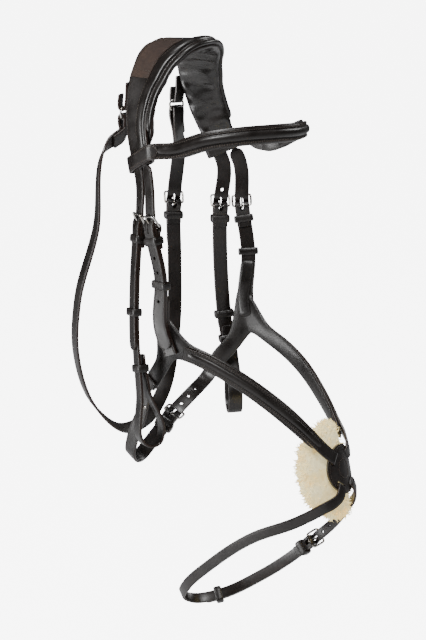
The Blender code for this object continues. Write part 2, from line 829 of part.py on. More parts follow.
# Noseband sides
# A billet from the headpiece buckles on a hanger, whose foot is sewn to a padded piece that forks
# to the jaw and to the nose. A raised strap runs down the front arm to the disc.
hanger_face = (0.91, 0.41, 0.00)
hanger_share = (1.03, 0.20, 0.384)
hub_share = (0.97, 0.23, 0.512)
hub_face = (0.98, 0.20, -0.10)
hub_straight = 0.026
hanger_foot = 0.004
hanger_runner_drop = {near: 0.062, far: 0.052}
hanger_hole_drops = (0.032, 0.048, 0.080)
nose_rear_shares = (((0.82, 0.045, 0.585), (1.00, 0.30, -0.05)),
                    ((0.90, 0.13, 0.550), (1.00, 0.30, -0.10)))
nose_front_shares = (((0.94, 0.38, 0.526), (0.98, -0.10, 0.00), 0.8),
                     ((0.85, 0.54, 0.554), (0.93, -0.33, 0.05), 1.0),
                     ((0.61, 0.75, 0.609), (0.78, -0.60, 0.10), 1.0),
                     ((0.45, 0.86, 0.646), (0.66, -0.74, 0.15), 0.9))
nose_sag = {near: -0.0055, far: 0.0035}
hub_reach = 0.032
fillet_power = 3.2
upright_power = 0.35
pad_step = 0.021
hub_step = 0.004
pad_end_gap = 0.012
pad_tip_shares = (0.78, 0.92)
strap_height = strap_thickness / 2 + layer_gap
dip_shares = ((1.0, 0.0), (0.45, 0.05), (0.15, 0.22), (0.0, 0.6))
slot_depth = 0.0008
disc_centre = place_of(far, (0.0, 1.0, 0.718))
disc_up = Vector((0.0, sin(disc_lean), cos(disc_lean)))
disc_out = Vector((0.0, -cos(disc_lean), sin(disc_lean)))
upper_slot_angle = radians(48)
lower_slot_angle = radians(145)


def disc_spot(side, radius, angle, height=0.0):
    """Place above the disc's outer face at a radius and an angle from its top, and its normal."""
    across, rise = side * radius * sin(angle), radius * cos(angle)
    normal = (disc_out + Vector((across / disc_bend_radius, 0.0, 0.0))).normalized()
    place = disc_centre + Vector((across, 0.0, 0.0)) + disc_up * rise
    place -= disc_out * (across * across / (2 * disc_bend_radius))
    return place + normal * height, normal


def nose_route(side):
    """Along the padded piece from its jaw end over the fork to the disc's upper slot."""
    rows = [(place_of(side, place), facing(side, face)) for place, face in nose_rear_shares]
    rows.append((place_of(side, hub_share), facing(side, hub_face)))
    for place, face, sag_share in nose_front_shares:
        low = Vector((0.0, 0.0, -nose_sag[side] * sag_share))
        rows.append((place_of(side, place) + low, facing(side, face)))
    rows.append(disc_spot(side, disc_radius + nose_pad_thickness, upper_slot_angle, strap_height))
    rows.append(disc_spot(side, slot_radius, upper_slot_angle, strap_height))
    return Route(rows, hand=side)


def slot_dip(slot_at, direction):
    """From a strap over the disc's rim down into its slot, as (station, lift) pairs."""
    path = [(slot_at - direction * strap_thickness * before, -strap_thickness * drop)
            for before, drop in dip_shares]
    return path + [(slot_at, -strap_height - disc_thickness - slot_depth)]


def add_hanger(side, prefix):
    end, down, crown_face, edge = crown_end(side)
    offset = (strap_width + billet_split) / 2
    root = end + edge * offset + down * (layer_gap + strap_width / 2)
    face = facing(side, hanger_face)
    nose = nose_route(side)
    hub, _, hub_out, hub_up = nose.at(nose.nearest(place_of(side, hub_share)))
    rows = [(root, crown_face), (root + down * root_straight, crown_face)]
    rows += [(buckle_row(side, 1), face), (place_of(side, hanger_share), face)]
    rows += [(hub + hub_up * hub_straight, hub_out), (hub, hub_out)]
    route = Route(rows, hand=side)
    buckle_at = route.nearest(rows[2][0])
    tip = route.length - hanger_foot
    path = [(-strap_width / 2 * share, 0.0) for share in (1.0, 0.88, 0.6, 0.3)]
    path += billet_path(buckle_at, 0.0, tip)
    stations = [station for station, _ in path]
    halves = [min(pair) for pair in zip(pointed(stations, tip, strap_width / 2),
                                        pointed(stations, -strap_width / 2, strap_width / 2))]
    billet = ribbon(prefix + "_billet", route, path, halves, strap_thickness, black_leather)
    punch(billet, route, [(buckle_at + drop, layer) for drop in hanger_hole_drops])
    path = turned_back_end(buckle_at)
    path += strap_below(buckle_at, route.length + hanger_foot)
    strap = ribbon(prefix, route, path, strap_width / 2, strap_thickness, black_leather)
    add_pair(prefix, route, buckle_at, billet, strap, strap_width)
    add_runner(prefix + "_runner", route, buckle_at + hanger_runner_drop[side], strap_width)


def hub_rise(distance):
    """Share of the fork's height above its arms that its fillet has at a distance from it."""
    share = (hub_reach - distance) / (hub_reach - hub_arm_half)
    return min(max(share, 0.0), 1.0) ** fillet_power


def add_nose_side(side, prefix):
    route = nose_route(side)
    hub_at = route.nearest(place_of(side, hub_share))
    rim_at = route.nearest(disc_spot(side, disc_radius + nose_pad_thickness, upper_slot_angle,
                                     strap_height)[0])
    stations = steps(0.0, hub_at - hub_reach, pad_step) + steps(
        hub_at - hub_reach, hub_at + hub_reach, hub_step)[1:]
    stations += steps(hub_at + hub_reach, rim_at - pad_end_gap, pad_step)[1:]
    _, _, _, upright = route.at(hub_at)
    rises = [hub_rise(abs(station - hub_at)) for station in stations]
    tops = [nose_pad_half + (hub_height - nose_pad_half) * rise for rise in rises]
    leans = [route.at(station)[3].lerp(upright, rise**upright_power).normalized()
             for station, rise in zip(stations, rises)]
    backs = [nose_pad_half] * len(stations)
    for row, share in zip((-1, -2), pad_tip_shares):
        tops[row] *= share
        backs[row] *= share
    lift = -(strap_thickness + nose_pad_thickness) / 2 - layer_gap * 2
    soften(ribbon(prefix + "_nose_pad", route, [(station, lift) for station in stations], tops,
                  nose_pad_thickness, lining_leather, across=2, back=backs, leans=leans))
    start = hub_at + strap_width / 2 + hanger_foot * 2
    path = along_route(start, route.length - strap_thickness * 2)
    path += slot_dip(route.length, 1)
    halves = [nose_strap_width / 2] * len(path)
    ribbon(prefix + "_nose_strap", route, path, halves, strap_thickness, black_leather)
    return route


add_hanger(near, "near_hanger")
add_hanger(far, "far_hanger")
near_nose_route = add_nose_side(near, "near")
far_nose_route = add_nose_side(far, "far")

# Disc and fleece
# The leather disc has four slots that take the ends of the crossed straps. A sheepskin pad lies
# between it and the nose.
disc_cells = 12
fleece_cells = 6
slot_opening = strap_thickness + 2 * slot_clearance
slot_swing_room = 0.0012
corner_share = 0.34
fleece_gap = 0.0028
fleece_back = disc_thickness + fleece_gap


def disc_grid(name, cells, place_at, thickness, material):
    """A square grid drawn to a disc or pad by place_at(across, up), each share from -1 to 1."""
    sheet = bmesh.new()
    bmesh.ops.create_grid(sheet, x_segments=cells, y_segments=cells, size=1.0)
    for vertex in sheet.verts:
        vertex.co = place_at(vertex.co.x, vertex.co.y)
    mesh = bpy.data.meshes.new(name)
    sheet.to_mesh(mesh)
    sheet.free()
    item = add_object(name, mesh, material)
    wall = item.modifiers.new("thickness", "SOLIDIFY")
    wall.thickness = thickness
    wall.offset = 0.0
    return item


def disc_place(x_share, y_share):
    across = x_share * sqrt(1 - y_share * y_share / 2) * disc_radius
    rise = y_share * sqrt(1 - x_share * x_share / 2) * disc_radius
    depth = across * across / (2 * disc_bend_radius) + disc_thickness / 2
    return disc_centre + Vector((across, 0.0, 0.0)) + disc_up * rise - disc_out * depth


def fleece_place(x_share, y_share):
    across = x_share * sqrt(1 - corner_share * y_share * y_share) * fleece_half_width
    rise = y_share * sqrt(1 - corner_share * x_share * x_share) * fleece_half_height
    depth = fleece_back + across * across / (2 * fleece_nose_radius) + fleece_thickness / 2
    return disc_centre + Vector((across, 0.0, 0.0)) + disc_up * rise - disc_out * depth


def slot_cutter(side, angle, width, opening, shift=0.0):
    """A box through the disc at one slot, its long side square to the strap that enters it."""
    place, normal = disc_spot(side, slot_radius + shift, angle)
    radial = Vector((side * sin(angle), 0.0, 0.0)) + disc_up * cos(angle)
    radial = (radial - normal * radial.dot(normal)).normalized()
    across = radial.cross(normal)
    matrix = axes_matrix(across, radial, across.cross(radial), place)
    box = bmesh.new()
    bmesh.ops.create_cube(box, size=1)
    size = (width + 2 * slot_clearance, opening, disc_radius)
    bmesh.ops.transform(box, matrix=matrix @ Matrix.Diagonal((*size, 1)), verts=box.verts)
    mesh = bpy.data.meshes.new("slot")
    box.to_mesh(mesh)
    box.free()
    cutter = bpy.data.objects.new("slot", mesh)
    cutters.objects.link(cutter)
    return cutter


disc = disc_grid("nose_disc", disc_cells, disc_place, disc_thickness, black_leather)
for slot_side in (near, far):
    cut(disc, slot_cutter(slot_side, upper_slot_angle, nose_strap_width, slot_opening))
    cut(disc, slot_cutter(slot_side, lower_slot_angle, chin_strap_width,
                          slot_opening + slot_swing_room, -slot_swing_room / 2))
soften(disc_grid("nose_fleece", fleece_cells, fleece_place, fleece_thickness, sheepskin))

# Jaw strap
# The billet is sewn to the far fork and the strap to the near one. They hang slack under the jaw.
jaw_shares = (
    ((0.80, 0.025, 0.602), (0.95, 0.30, -0.25)),
    ((0.69, 0.01, 0.616), (0.55, 0.40, -0.75)),
    ((0.50, 0.02, 0.622), (0.38, 0.45, -0.80)),
    ((0.10, -0.04, 0.664), (0.42, 0.50, -0.76)),
    ((-0.21, -0.07, 0.698), (0.30, 0.60, -0.75)),
    ((-0.49, -0.09, 0.722), (0.00, 0.60, -0.80)),
    ((-0.69, -0.08, 0.712), (-0.65, 0.50, -0.55)),
    ((-0.77, -0.04, 0.672), (-0.95, 0.28, -0.20)),
    ((-0.80, 0.015, 0.632), (-1.00, 0.30, 0.00)),
)
jaw_buckle_row = 3
jaw_tail = 0.046
jaw_seat = (0.016, 0.004)
jaw_hole_rises = (0.0185, 0.031, 0.044)


def add_jaw_strap():
    rows = []
    for station in jaw_seat:
        place, _, face, _ = far_nose_route.at(station)
        rows.append((place, face))
    rows += [(place_of(far, place), face) for place, face in jaw_shares]
    for station in reversed(jaw_seat):
        place, _, face, _ = near_nose_route.at(station)
        rows.append((place, face))
    route = Route(rows)
    buckle_at = route.nearest(place_of(far, jaw_shares[jaw_buckle_row][0]))
    tip = buckle_at + jaw_tail
    path = billet_path(buckle_at, 0.0, tip)
    halves = pointed([station for station, _ in path], tip, strap_width / 2)
    billet = ribbon("jaw_billet", route, path, halves, strap_thickness, black_leather)
    punch(billet, route, [(buckle_at - rise, 0.0) for rise in jaw_hole_rises])
    path = turned_back_end(buckle_at) + strap_below(buckle_at, route.length)
    strap = ribbon("jaw_strap", route, path, strap_width / 2, strap_thickness, black_leather)
    add_pair("jaw", route, buckle_at, billet, strap, strap_width)


add_jaw_strap()

# Chin strap
# The lower strap of the crossed noseband. Its billet leaves the far lower slot of the disc, and
# the strap comes round behind the chin to the near lower slot.
chin_shares = (
    ((0.33, 0.93, 0.81), (0.72, -0.65, -0.10)),
    ((0.46, 0.72, 0.8775), (0.98, -0.15, -0.10)),
    ((0.38, 0.44, 0.9505), (0.95, 0.10, -0.30)),
    ((0.21, 0.22, 0.9905), (0.70, 0.40, -0.60)),
    ((0.08, 0.12, 0.9975), (0.30, 0.75, -0.60)),
    ((-0.09, 0.08, 0.9865), (-0.30, 0.80, -0.50)),
    ((-0.27, 0.14, 0.9595), (-0.75, 0.55, -0.35)),
    ((-0.43, 0.33, 0.9035), (-0.97, 0.20, -0.10)),
    ((-0.53, 0.60, 0.8395), (-1.00, -0.05, 0.00)),
    ((-0.48, 0.85, 0.8015), (-0.88, -0.45, 0.05)),
    ((-0.36, 0.985, 0.774), (-0.60, -0.78, 0.10)),
)
chin_rim_clearance = 0.008
chin_runner_row = 3
chin_tail = 0.018
chin_hole_rises = (0.020, 0.033)


def add_chin_strap():
    rim = disc_radius + chin_rim_clearance
    rows = [disc_spot(far, slot_radius, lower_slot_angle, strap_height),
            disc_spot(far, rim, lower_slot_angle, strap_height)]
    rows += [(place_of(far, place), face) for place, face in chin_shares]
    rows += [disc_spot(near, rim, lower_slot_angle, strap_height),
             disc_spot(near, slot_radius, lower_slot_angle, strap_height)]
    route = Route(rows)
    buckle_at = route.nearest(place_of(far, chin_shares[1][0]))
    runner_at = route.nearest(place_of(far, chin_shares[chin_runner_row][0]))
    tip = runner_at + chin_tail
    entry = slot_dip(0.0, -1)[::-1]
    path = entry + billet_path(buckle_at, strap_thickness * 2, tip)
    halves = pointed([station for station, _ in path], tip, chin_strap_width / 2)
    billet = ribbon("chin_billet", route, path, halves, strap_thickness, black_leather)
    punch(billet, route, [(buckle_at - rise, 0.0) for rise in chin_hole_rises])
    path = turned_back_end(buckle_at)
    path += strap_below(buckle_at, route.length - strap_thickness * 2)
    path += slot_dip(route.length, 1)
    strap = ribbon("chin_strap", route, path, chin_strap_width / 2, strap_thickness,
                   black_leather)
    add_pair("chin", route, buckle_at, billet, strap, chin_strap_width)
    add_runner("chin_runner", route, runner_at, chin_strap_width)


add_chin_strap()
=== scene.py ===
"""Grackle bridle in black leather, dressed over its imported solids, in metres.

The horse would face -Y and +Z is up. Straps are drawn again along the corner lines of their own
solids, so each piece lies where its solid lies.
"""

import json
from math import cos, pi, radians, sin

import bmesh
import bpy
import numpy as np
from mathutils import Matrix, Vector

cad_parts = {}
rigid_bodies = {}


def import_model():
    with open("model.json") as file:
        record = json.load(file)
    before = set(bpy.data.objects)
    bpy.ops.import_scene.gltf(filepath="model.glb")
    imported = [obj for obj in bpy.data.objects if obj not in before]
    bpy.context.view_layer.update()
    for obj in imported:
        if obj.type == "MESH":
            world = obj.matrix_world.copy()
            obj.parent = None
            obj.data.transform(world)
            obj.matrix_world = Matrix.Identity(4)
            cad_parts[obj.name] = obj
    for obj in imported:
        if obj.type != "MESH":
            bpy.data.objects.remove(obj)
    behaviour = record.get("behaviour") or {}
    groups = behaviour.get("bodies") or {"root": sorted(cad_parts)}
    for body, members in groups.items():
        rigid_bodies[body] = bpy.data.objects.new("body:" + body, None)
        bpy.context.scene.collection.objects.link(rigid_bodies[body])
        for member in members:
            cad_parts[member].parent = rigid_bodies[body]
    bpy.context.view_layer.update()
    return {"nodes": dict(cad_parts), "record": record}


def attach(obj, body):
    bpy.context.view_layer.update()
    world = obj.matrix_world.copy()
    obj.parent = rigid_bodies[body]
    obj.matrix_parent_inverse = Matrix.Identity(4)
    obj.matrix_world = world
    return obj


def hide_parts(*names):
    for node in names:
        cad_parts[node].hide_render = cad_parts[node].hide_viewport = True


for item in list(bpy.data.objects):
    bpy.data.objects.remove(item, do_unlink=True)
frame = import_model()

# Camera, floor and light
# A long lens looks a little down at the near side. The floor and the air round it are pale, and
# broad soft lamps stand high on both sides.
camera_turn = radians(-61.9)
camera_rise = radians(10.2)
camera_far = 2.45
camera_lens = 125.4
camera_aim = Vector((0.0, -0.050, -0.2953))
camera_back = Vector((sin(camera_turn) * cos(camera_rise), -cos(camera_turn) * cos(camera_rise),
                      sin(camera_rise)))
floor_level = -0.78
floor_half = 90.0
floor_glow = 7.0
air_light = 0.07


def in_scene(name, data):
    """A new object for a camera, a lamp or a mesh, linked to the scene."""
    item = bpy.data.objects.new(name, data)
    bpy.context.scene.collection.objects.link(item)
    return item


def new_material(name):
    """A material, its node tree and its Principled shader."""
    material = bpy.data.materials.new(name)
    material.use_nodes = True
    return material, material.node_tree, material.node_tree.nodes["Principled BSDF"]


def give(tree, socket, value):
    """Links an output to the socket, or sets the socket to a number or a colour."""
    if isinstance(value, bpy.types.NodeSocket):
        tree.links.new(value, socket)
    else:
        socket.default_value = value


def feed(tree, sockets, **values):
    """Gives each named socket its value. An underscore in a name stands for a space."""
    for label, value in values.items():
        give(tree, sockets[label.replace("_", " ")], value)


def glow_when_seen(tree, strength, level=0.0):
    """A strength that adds floor_glow to the level, for the camera's own rays alone."""
    seen = tree.nodes.new("ShaderNodeLightPath").outputs["Is Camera Ray"]
    glow = tree.nodes.new("ShaderNodeMath")
    glow.operation = "MULTIPLY_ADD"
    glow.inputs[1].default_value = floor_glow
    glow.inputs[2].default_value = level
    tree.links.new(seen, glow.inputs[0])
    tree.links.new(glow.outputs[0], strength)


camera = in_scene("camera", bpy.data.cameras.new("camera"))
camera.data.lens = camera_lens
camera.location = camera_aim + camera_back * camera_far
camera.rotation_euler = (-camera_back).to_track_quat("-Z", "Y").to_euler()
bpy.context.scene.camera = camera

mesh = bpy.data.meshes.new("floor")
mesh.from_pydata([(x * floor_half, y * floor_half, floor_level)
                  for x, y in ((-1, -1), (1, -1), (1, 1), (-1, 1))], [], [(0, 1, 2, 3)])
floor = in_scene("floor", mesh)
material, tree, shader = new_material("floor_paper")
feed(tree, shader.inputs, Base_Color=(0.86, 0.86, 0.87, 1.0), Roughness=0.9,
     Emission_Color=(1.0, 1.0, 1.0, 1.0))
glow_when_seen(tree, shader.inputs["Emission Strength"])
mesh.materials.append(material)

for name, place, aim, size, power in (
        ("key_lamp", (-2.0, -1.1, 2.1), (0.0, -0.05, -0.25), 0.9, 62.0),
        ("side_lamp", (-1.6, 1.9, 0.6), (0.0, -0.05, -0.3), 0.8, 20.0),
        ("far_lamp", (2.3, -1.2, 1.4), (0.0, -0.05, -0.3), 1.2, 17.0),
        ("low_lamp", (-1.3, 0.9, -0.45), (0.06, 0.0, -0.10), 0.7, 7.0),
        ("sheen_lamp", (-1.5, 1.7, -0.30), (-0.1, 0.0, -0.3), 0.7, 14.0),
        ("top_lamp", (0.2, 0.1, 2.4), (0.0, -0.05, -0.1), 1.0, 22.0)):
    lamp = bpy.data.lights.new(name, "AREA")
    lamp.shape, lamp.size, lamp.energy = "DISK", size, power
    item = in_scene(name, lamp)
    item.location = place
    item.rotation_euler = (Vector(aim) - Vector(place)).to_track_quat("-Z", "Y").to_euler()

air = bpy.data.worlds.new("pale_air")
air.use_nodes = True
air_shader = air.node_tree.nodes["Background"]
feed(air.node_tree, air_shader.inputs, Color=(0.90, 0.90, 0.92, 1.0))
glow_when_seen(air.node_tree, air_shader.inputs["Strength"], air_light)
bpy.context.scene.world = air

# Black leather
# Bridle leather dyed almost black through the grain side: a fine pebble with soft patches of wear,
# darker on the faces and red-brown where the edge has been cut and burnished.
pore_share = 0.35
pore_shade = 0.45
rub_share = 0.45
cut_smoothness = 0.8
groove_depth = 0.9
leather_height = 0.0004


def node_group(name, inputs, outputs):
    """An empty shader group. Inputs are (name, value), outputs are names, and all are floats."""
    group = bpy.data.node_groups.new(name, "ShaderNodeTree")
    for label, value in inputs:
        socket = group.interface.new_socket(label, in_out="INPUT", socket_type="NodeSocketFloat")
        socket.default_value = value
    for label in outputs:
        group.interface.new_socket(label, in_out="OUTPUT", socket_type="NodeSocketFloat")
    return group, group.nodes.new("NodeGroupInput"), group.nodes.new("NodeGroupOutput")


def add_node(tree, kind, settings=(), **values):
    """A node with its properties set from settings and its sockets from values."""
    node = tree.nodes.new(kind)
    for label, value in settings:
        setattr(node, label, value)
    feed(tree, node.inputs, **values)
    return node


def math_node(tree, operation, first, second=0.0, clamp=False):
    """One sum of two numbers or outputs, held within 0..1 where clamp is set."""
    node = add_node(tree, "ShaderNodeMath", (("operation", operation), ("use_clamp", clamp)))
    for socket, value in zip(node.inputs, (first, second)):
        give(tree, socket, value)
    return node.outputs[0]


def mix_colour(tree, share, first, second):
    """The first colour blended towards the second by the share."""
    node = add_node(tree, "ShaderNodeMix", (("data_type", "RGBA"),))
    for number, value in ((0, share), (6, first), (7, second)):
        give(tree, node.inputs[number], (*value, 1.0) if isinstance(value, tuple) else value)
    return node.outputs[2]


def ranged(tree, value, low, high, to_low=0.0, to_high=1.0):
    """The value carried from low..high to to_low..to_high, held at both ends."""
    node = add_node(tree, "ShaderNodeMapRange", (("interpolation_type", "SMOOTHSTEP"),),
                    Value=value, From_Min=low, From_Max=high, To_Min=to_low, To_Max=to_high)
    return node.outputs[0]


def object_place(tree):
    """The place of each point in metres, which is the same for every piece."""
    return tree.nodes.new("ShaderNodeTexCoord").outputs["Object"]


def noise(tree, place, scale, detail, distortion=0.0):
    """Cloudy noise from 0 to 1, at a scale per metre."""
    return add_node(tree, "ShaderNodeTexNoise", Vector=place, Scale=scale, Detail=detail,
                    Distortion=distortion).outputs["Fac"]


def raise_surface(tree, shader, height, strength, distance):
    """Bends the shader's normal by a height of 0..1, which stands for the distance."""
    node = add_node(tree, "ShaderNodeBump", Strength=strength, Distance=distance, Height=height)
    feed(tree, shader.inputs, Normal=node.outputs["Normal"])


def build_grain_group():
    """Pebble, pores and broad patches from Object coordinates, as a height and two masks."""
    group, given, result = node_group("leather_grain", (("Pebble", 950.0), ("Patch", 42.0)),
                                      ("Height", "Pores", "Patches"))
    place = object_place(group)
    warp = noise(group, place, given.outputs["Patch"], 2.0)
    cells = add_node(group, "ShaderNodeTexVoronoi", (("feature", "DISTANCE_TO_EDGE"),),
                     Vector=place, Scale=given.outputs["Pebble"])
    fine = noise(group, place, given.outputs["Pebble"], 3.0)
    pebble = ranged(group, cells.outputs["Distance"], 0.0, 0.22)
    height = math_node(group, "ADD", math_node(group, "MULTIPLY", pebble, 0.7),
                       math_node(group, "MULTIPLY", fine, 0.5))
    feed(group, result.inputs, Height=height, Pores=math_node(group, "SUBTRACT", 1.0, pebble),
         Patches=ranged(group, warp, 0.36, 0.66))
    return group


def build_edge_group():
    """Masks from a strap's own attributes: its cut edge, the creased line and the rubbed rim."""
    group, given, result = node_group("strap_edge", (("Crease", 0.0017), ("Width", 0.0005)),
                                      ("Cut", "Groove", "Rub"))
    rim, cut = (add_node(group, "ShaderNodeAttribute", (("attribute_name", label),)).outputs["Fac"]
                for label in ("rim", "cut"))
    blotch = noise(group, object_place(group), 260.0, 3.0)
    off = math_node(group, "ABSOLUTE", math_node(group, "SUBTRACT", rim, given.outputs["Crease"]))
    line = math_node(group, "SUBTRACT", 1.0,
                     math_node(group, "DIVIDE", off, given.outputs["Width"]), clamp=True)
    rub = math_node(group, "MULTIPLY", ranged(group, rim, 0.0016, 0.0),
                    ranged(group, blotch, 0.42, 0.62))
    feed(group, result.inputs, Groove=line, Cut=ranged(group, cut, 0.35, 0.9), Rub=rub)
    return group


grain_group = build_grain_group()
edge_group = build_edge_group()


def leather(name, face, worn, edge, roughness, bump, coat, pebble=950.0, crease=0.0017):
    """Leather whose colours are the face, its worn patches and its cut edge. The pores are
    darker, the rubbed rim shows the edge's colour, and the crease is a duller groove."""
    material, tree, shader = new_material(name)
    grain = add_node(tree, "ShaderNodeGroup", (("node_tree", grain_group),), Pebble=pebble)
    edges = add_node(tree, "ShaderNodeGroup", (("node_tree", edge_group),), Crease=crease)
    patches, pores, relief = (grain.outputs[label] for label in ("Patches", "Pores", "Height"))
    cut, groove, rub = (edges.outputs[label] for label in ("Cut", "Groove", "Rub"))

    def part_of(mask, share):
        return math_node(tree, "MULTIPLY", mask, share)

    colour = mix_colour(tree, patches, face, worn)
    colour = mix_colour(tree, part_of(pores, pore_share), colour,
                        tuple(c * pore_shade for c in face))
    colour = mix_colour(tree, part_of(rub, rub_share), colour, edge)
    colour = mix_colour(tree, cut, colour, edge)
    rough = ranged(tree, patches, 0.0, 1.0, *roughness)
    rough = math_node(tree, "ADD", rough, part_of(groove, 0.15))
    rough = math_node(tree, "SUBTRACT", rough, part_of(cut, 0.08))
    feed(tree, shader.inputs, Base_Color=colour, Roughness=rough, Coat_Weight=coat,
         Coat_Roughness=0.32)
    grain_depth = math_node(tree, "SUBTRACT", bump, part_of(cut, bump * cut_smoothness))
    height = math_node(tree, "SUBTRACT", part_of(relief, grain_depth),
                       part_of(groove, groove_depth))
    raise_surface(tree, shader, height, 0.55, leather_height)
    return material


black_leather = leather("black_leather", (0.0105, 0.0078, 0.0066), (0.0160, 0.0122, 0.0105),
                        (0.026, 0.0145, 0.0105), roughness=(0.27, 0.42), bump=0.05, coat=0.34)

# Flat straps
# Each is cut from one thickness of leather, creased along both edges and finished with a rounded,
# burnished edge. Its rows come from the four corner lines of its solid.
head_middle = np.array((0.0, -0.10, -0.25))
corner_limit = radians(62)
smooth_limit = radians(42)
sliver_share = 0.001
row_parts = 3
edge_round = 0.0007
strap_dome = 0.00012
least_hole_corners = 6
flat_hole_normal = 0.9
hole_ease = 1.07
hole_sides = 20
root_reach = 0.0028


def merged(node):
    """The node's solid with the corners of its loose triangles joined."""
    shape = bmesh.new()
    shape.from_mesh(frame["nodes"][node].data)
    bmesh.ops.remove_doubles(shape, verts=shape.verts, dist=1e-6)
    return shape


def turn_slivers(shape):
    """Turns the long side of every triangle far longer than wide that lies inside a smooth side."""
    for face in list(shape.faces):
        if not face.is_valid:
            continue
        longest = max(face.edges, key=lambda line: line.calc_length())
        if face.calc_area() < sliver_share * longest.calc_length() ** 2:
            beside = [other.normal for line in face.edges for other in line.link_faces
                      if other != face]
            if all(normal.angle(beside[0]) < corner_limit for normal in beside):
                bmesh.utils.edge_rotate(longest)
    shape.normal_update()


def front_region(shape):
    """The faces of the larger smooth region that looks away from the middle of the head."""
    turn_slivers(shape)
    seen, regions = set(), []
    for first in shape.faces:
        if first in seen:
            continue
        seen.add(first)
        waiting, region = [first], []
        while waiting:
            face = waiting.pop()
            region.append(face)
            for line in face.edges:
                if line.calc_face_angle(0.0) < corner_limit:
                    fresh = [other for other in line.link_faces if other not in seen]
                    seen.update(fresh)
                    waiting += fresh
        regions.append(region)
    regions.sort(key=lambda region: -sum(face.calc_area() for face in region))

    def looks_out(region):
        return sum(face.calc_area() * float(np.dot(
            face.normal, np.array(face.calc_center_median()) - head_middle)) for face in region)
    return max(regions[:2], key=looks_out)


def region_rims(region):
    """Closed lines round a region, each a list of corners, the longest line first."""
    inside = set(region)
    following = {}
    for face in region:
        for corner in face.loops:
            if corner.link_loop_radial_next.face not in inside:
                following[corner.vert] = corner.link_loop_next.vert
    rims = []
    while following:
        corner = next(iter(following))
        rim = []
        while corner in following:
            rim.append(corner)
            corner = following.pop(corner)
        rims.append(rim)
    return sorted(rims, key=len, reverse=True)


def unit(vectors):
    """Each vector divided by its own length."""
    return vectors / np.maximum(np.linalg.norm(vectors, axis=-1), 1e-9)[..., None]


def stations_of(points):
    """Distances along a line of points, from nought at its first."""
    step = np.linalg.norm(np.diff(points, axis=0), axis=1)
    return np.concatenate([[0.0], np.cumsum(step)])


def read_off(at, stations, values):
    """Values or vectors, known at their own stations, read off at others."""
    if values.ndim == 1:
        return np.interp(at, stations, values)
    return np.stack([np.interp(at, stations, values[:, i]) for i in range(3)], axis=1)


class Rows:
    """Left and right corners of a strap's front and back, row by row, and its punched holes."""

    def __init__(self, corners, holes=()):
        self.corners = corners
        self.holes = holes

    def smooth(self):
        """Rows set closer, on cubic pieces whose slopes blend those of the rows round them."""
        corners = self.corners
        middle = corners.mean(axis=0)
        span = np.maximum(np.linalg.norm(np.diff(middle, axis=0), axis=1), 1e-6)[:, None]
        slope = np.diff(corners, axis=1) / span
        inner = (slope[:, :-1] * span[1:] + slope[:, 1:] * span[:-1]) / (span[1:] + span[:-1])
        tangent = np.concatenate([slope[:, :1], inner, slope[:, -1:]], axis=1)
        a, b = corners[:, :-1], corners[:, 1:]
        out, into = tangent[:, :-1] * span, tangent[:, 1:] * span
        pieces = [a * (2 * s**3 - 3 * s**2 + 1) + out * (s**3 - 2 * s**2 + s)
                  + b * (3 * s**2 - 2 * s**3) + into * (s**3 - s**2)
                  for s in np.arange(row_parts) / row_parts]
        rows = np.stack(pieces, axis=2).reshape(4, -1, 3)
        self.corners = np.concatenate([rows, corners[:, -1:]], axis=1)
        return self

    def lines(self):
        """Centre, edge direction, face direction, half width, half thickness and station."""
        left, right, left_back, right_back = self.corners
        centre = self.corners.mean(axis=0)
        edge = (right + right_back - left - left_back) / 4
        face = (left + right - left_back - right_back) / 4
        half = np.linalg.norm(edge, axis=1)
        deep = np.linalg.norm(face, axis=1)
        edge = edge / half[:, None]
        face = unit(face - edge * (face * edge).sum(axis=1)[:, None])
        return centre, edge, face, half, deep, stations_of(centre)

    def length(self):
        """The station of the last row."""
        return self.lines()[5][-1]

    def at(self, stations):
        """The first five lines read off at chosen stations."""
        *lines, station = self.lines()
        return [read_off(stations, station, values) for values in lines]


def read_rows(node, end_middle=0):
    """Rows read off a solid, the higher end first. The outline of its front is parted into left
    and right where the rows are squarest and most even in width; end_middle is 1 where each end
    has a corner between them."""
    shape = merged(node)
    region = front_region(shape)
    rims = region_rims(region)
    rim = rims[0]
    outline, inside = set(rim), set(region)
    front = np.array([corner.co for corner in rim])
    behind = []
    for corner in rim:
        reach = [line.other_vert(corner) for line in corner.link_edges]
        reach = [other for other in reach if other not in outline
                 and inside.isdisjoint(other.link_faces)]
        behind.append(min(reach, key=lambda other: (other.co - corner.co).length).co)
    behind = np.array(behind)
    rows = np.arange(len(rim) // 2 - end_middle)
    tries = []
    for turn in range(len(rim)):
        left = (turn + rows) % len(rim)
        right = (turn - 1 - end_middle - rows) % len(rim)
        across = front[left] - front[right]
        along = unit(np.gradient(front[left] + front[right], axis=0))
        width = np.linalg.norm(across, axis=1)
        skew = (np.abs((across * along).sum(axis=1)) + np.abs(width - np.median(width))).sum()
        tries.append((skew, turn, left, right))
    left, right = min(tries, key=lambda found: found[:2])[2:]
    if (front[left[0]] + front[right[0]])[2] < (front[left[-1]] + front[right[-1]])[2]:
        left, right = right[::-1], left[::-1]
    holes = []
    for hole in rims[1:]:
        if len(hole) >= least_hole_corners:
            beside = [face for face in region if not set(hole).isdisjoint(face.verts)]
            normal = sum((face.normal for face in beside), Vector()) / len(beside)
            holes.append((np.array([corner.co for corner in hole]), np.array(normal)))
    corners = np.stack([front[left], front[right], behind[left], behind[right]])
    shape.free()
    return Rows(corners, holes)


def ring_quads(index):
    """Four-sided faces between rings of point numbers, each ring closed."""
    turned = np.roll(index, -1, axis=1)
    return np.stack([index[:-1], turned[:-1], turned[1:], index[1:]], axis=2).reshape(-1, 4)


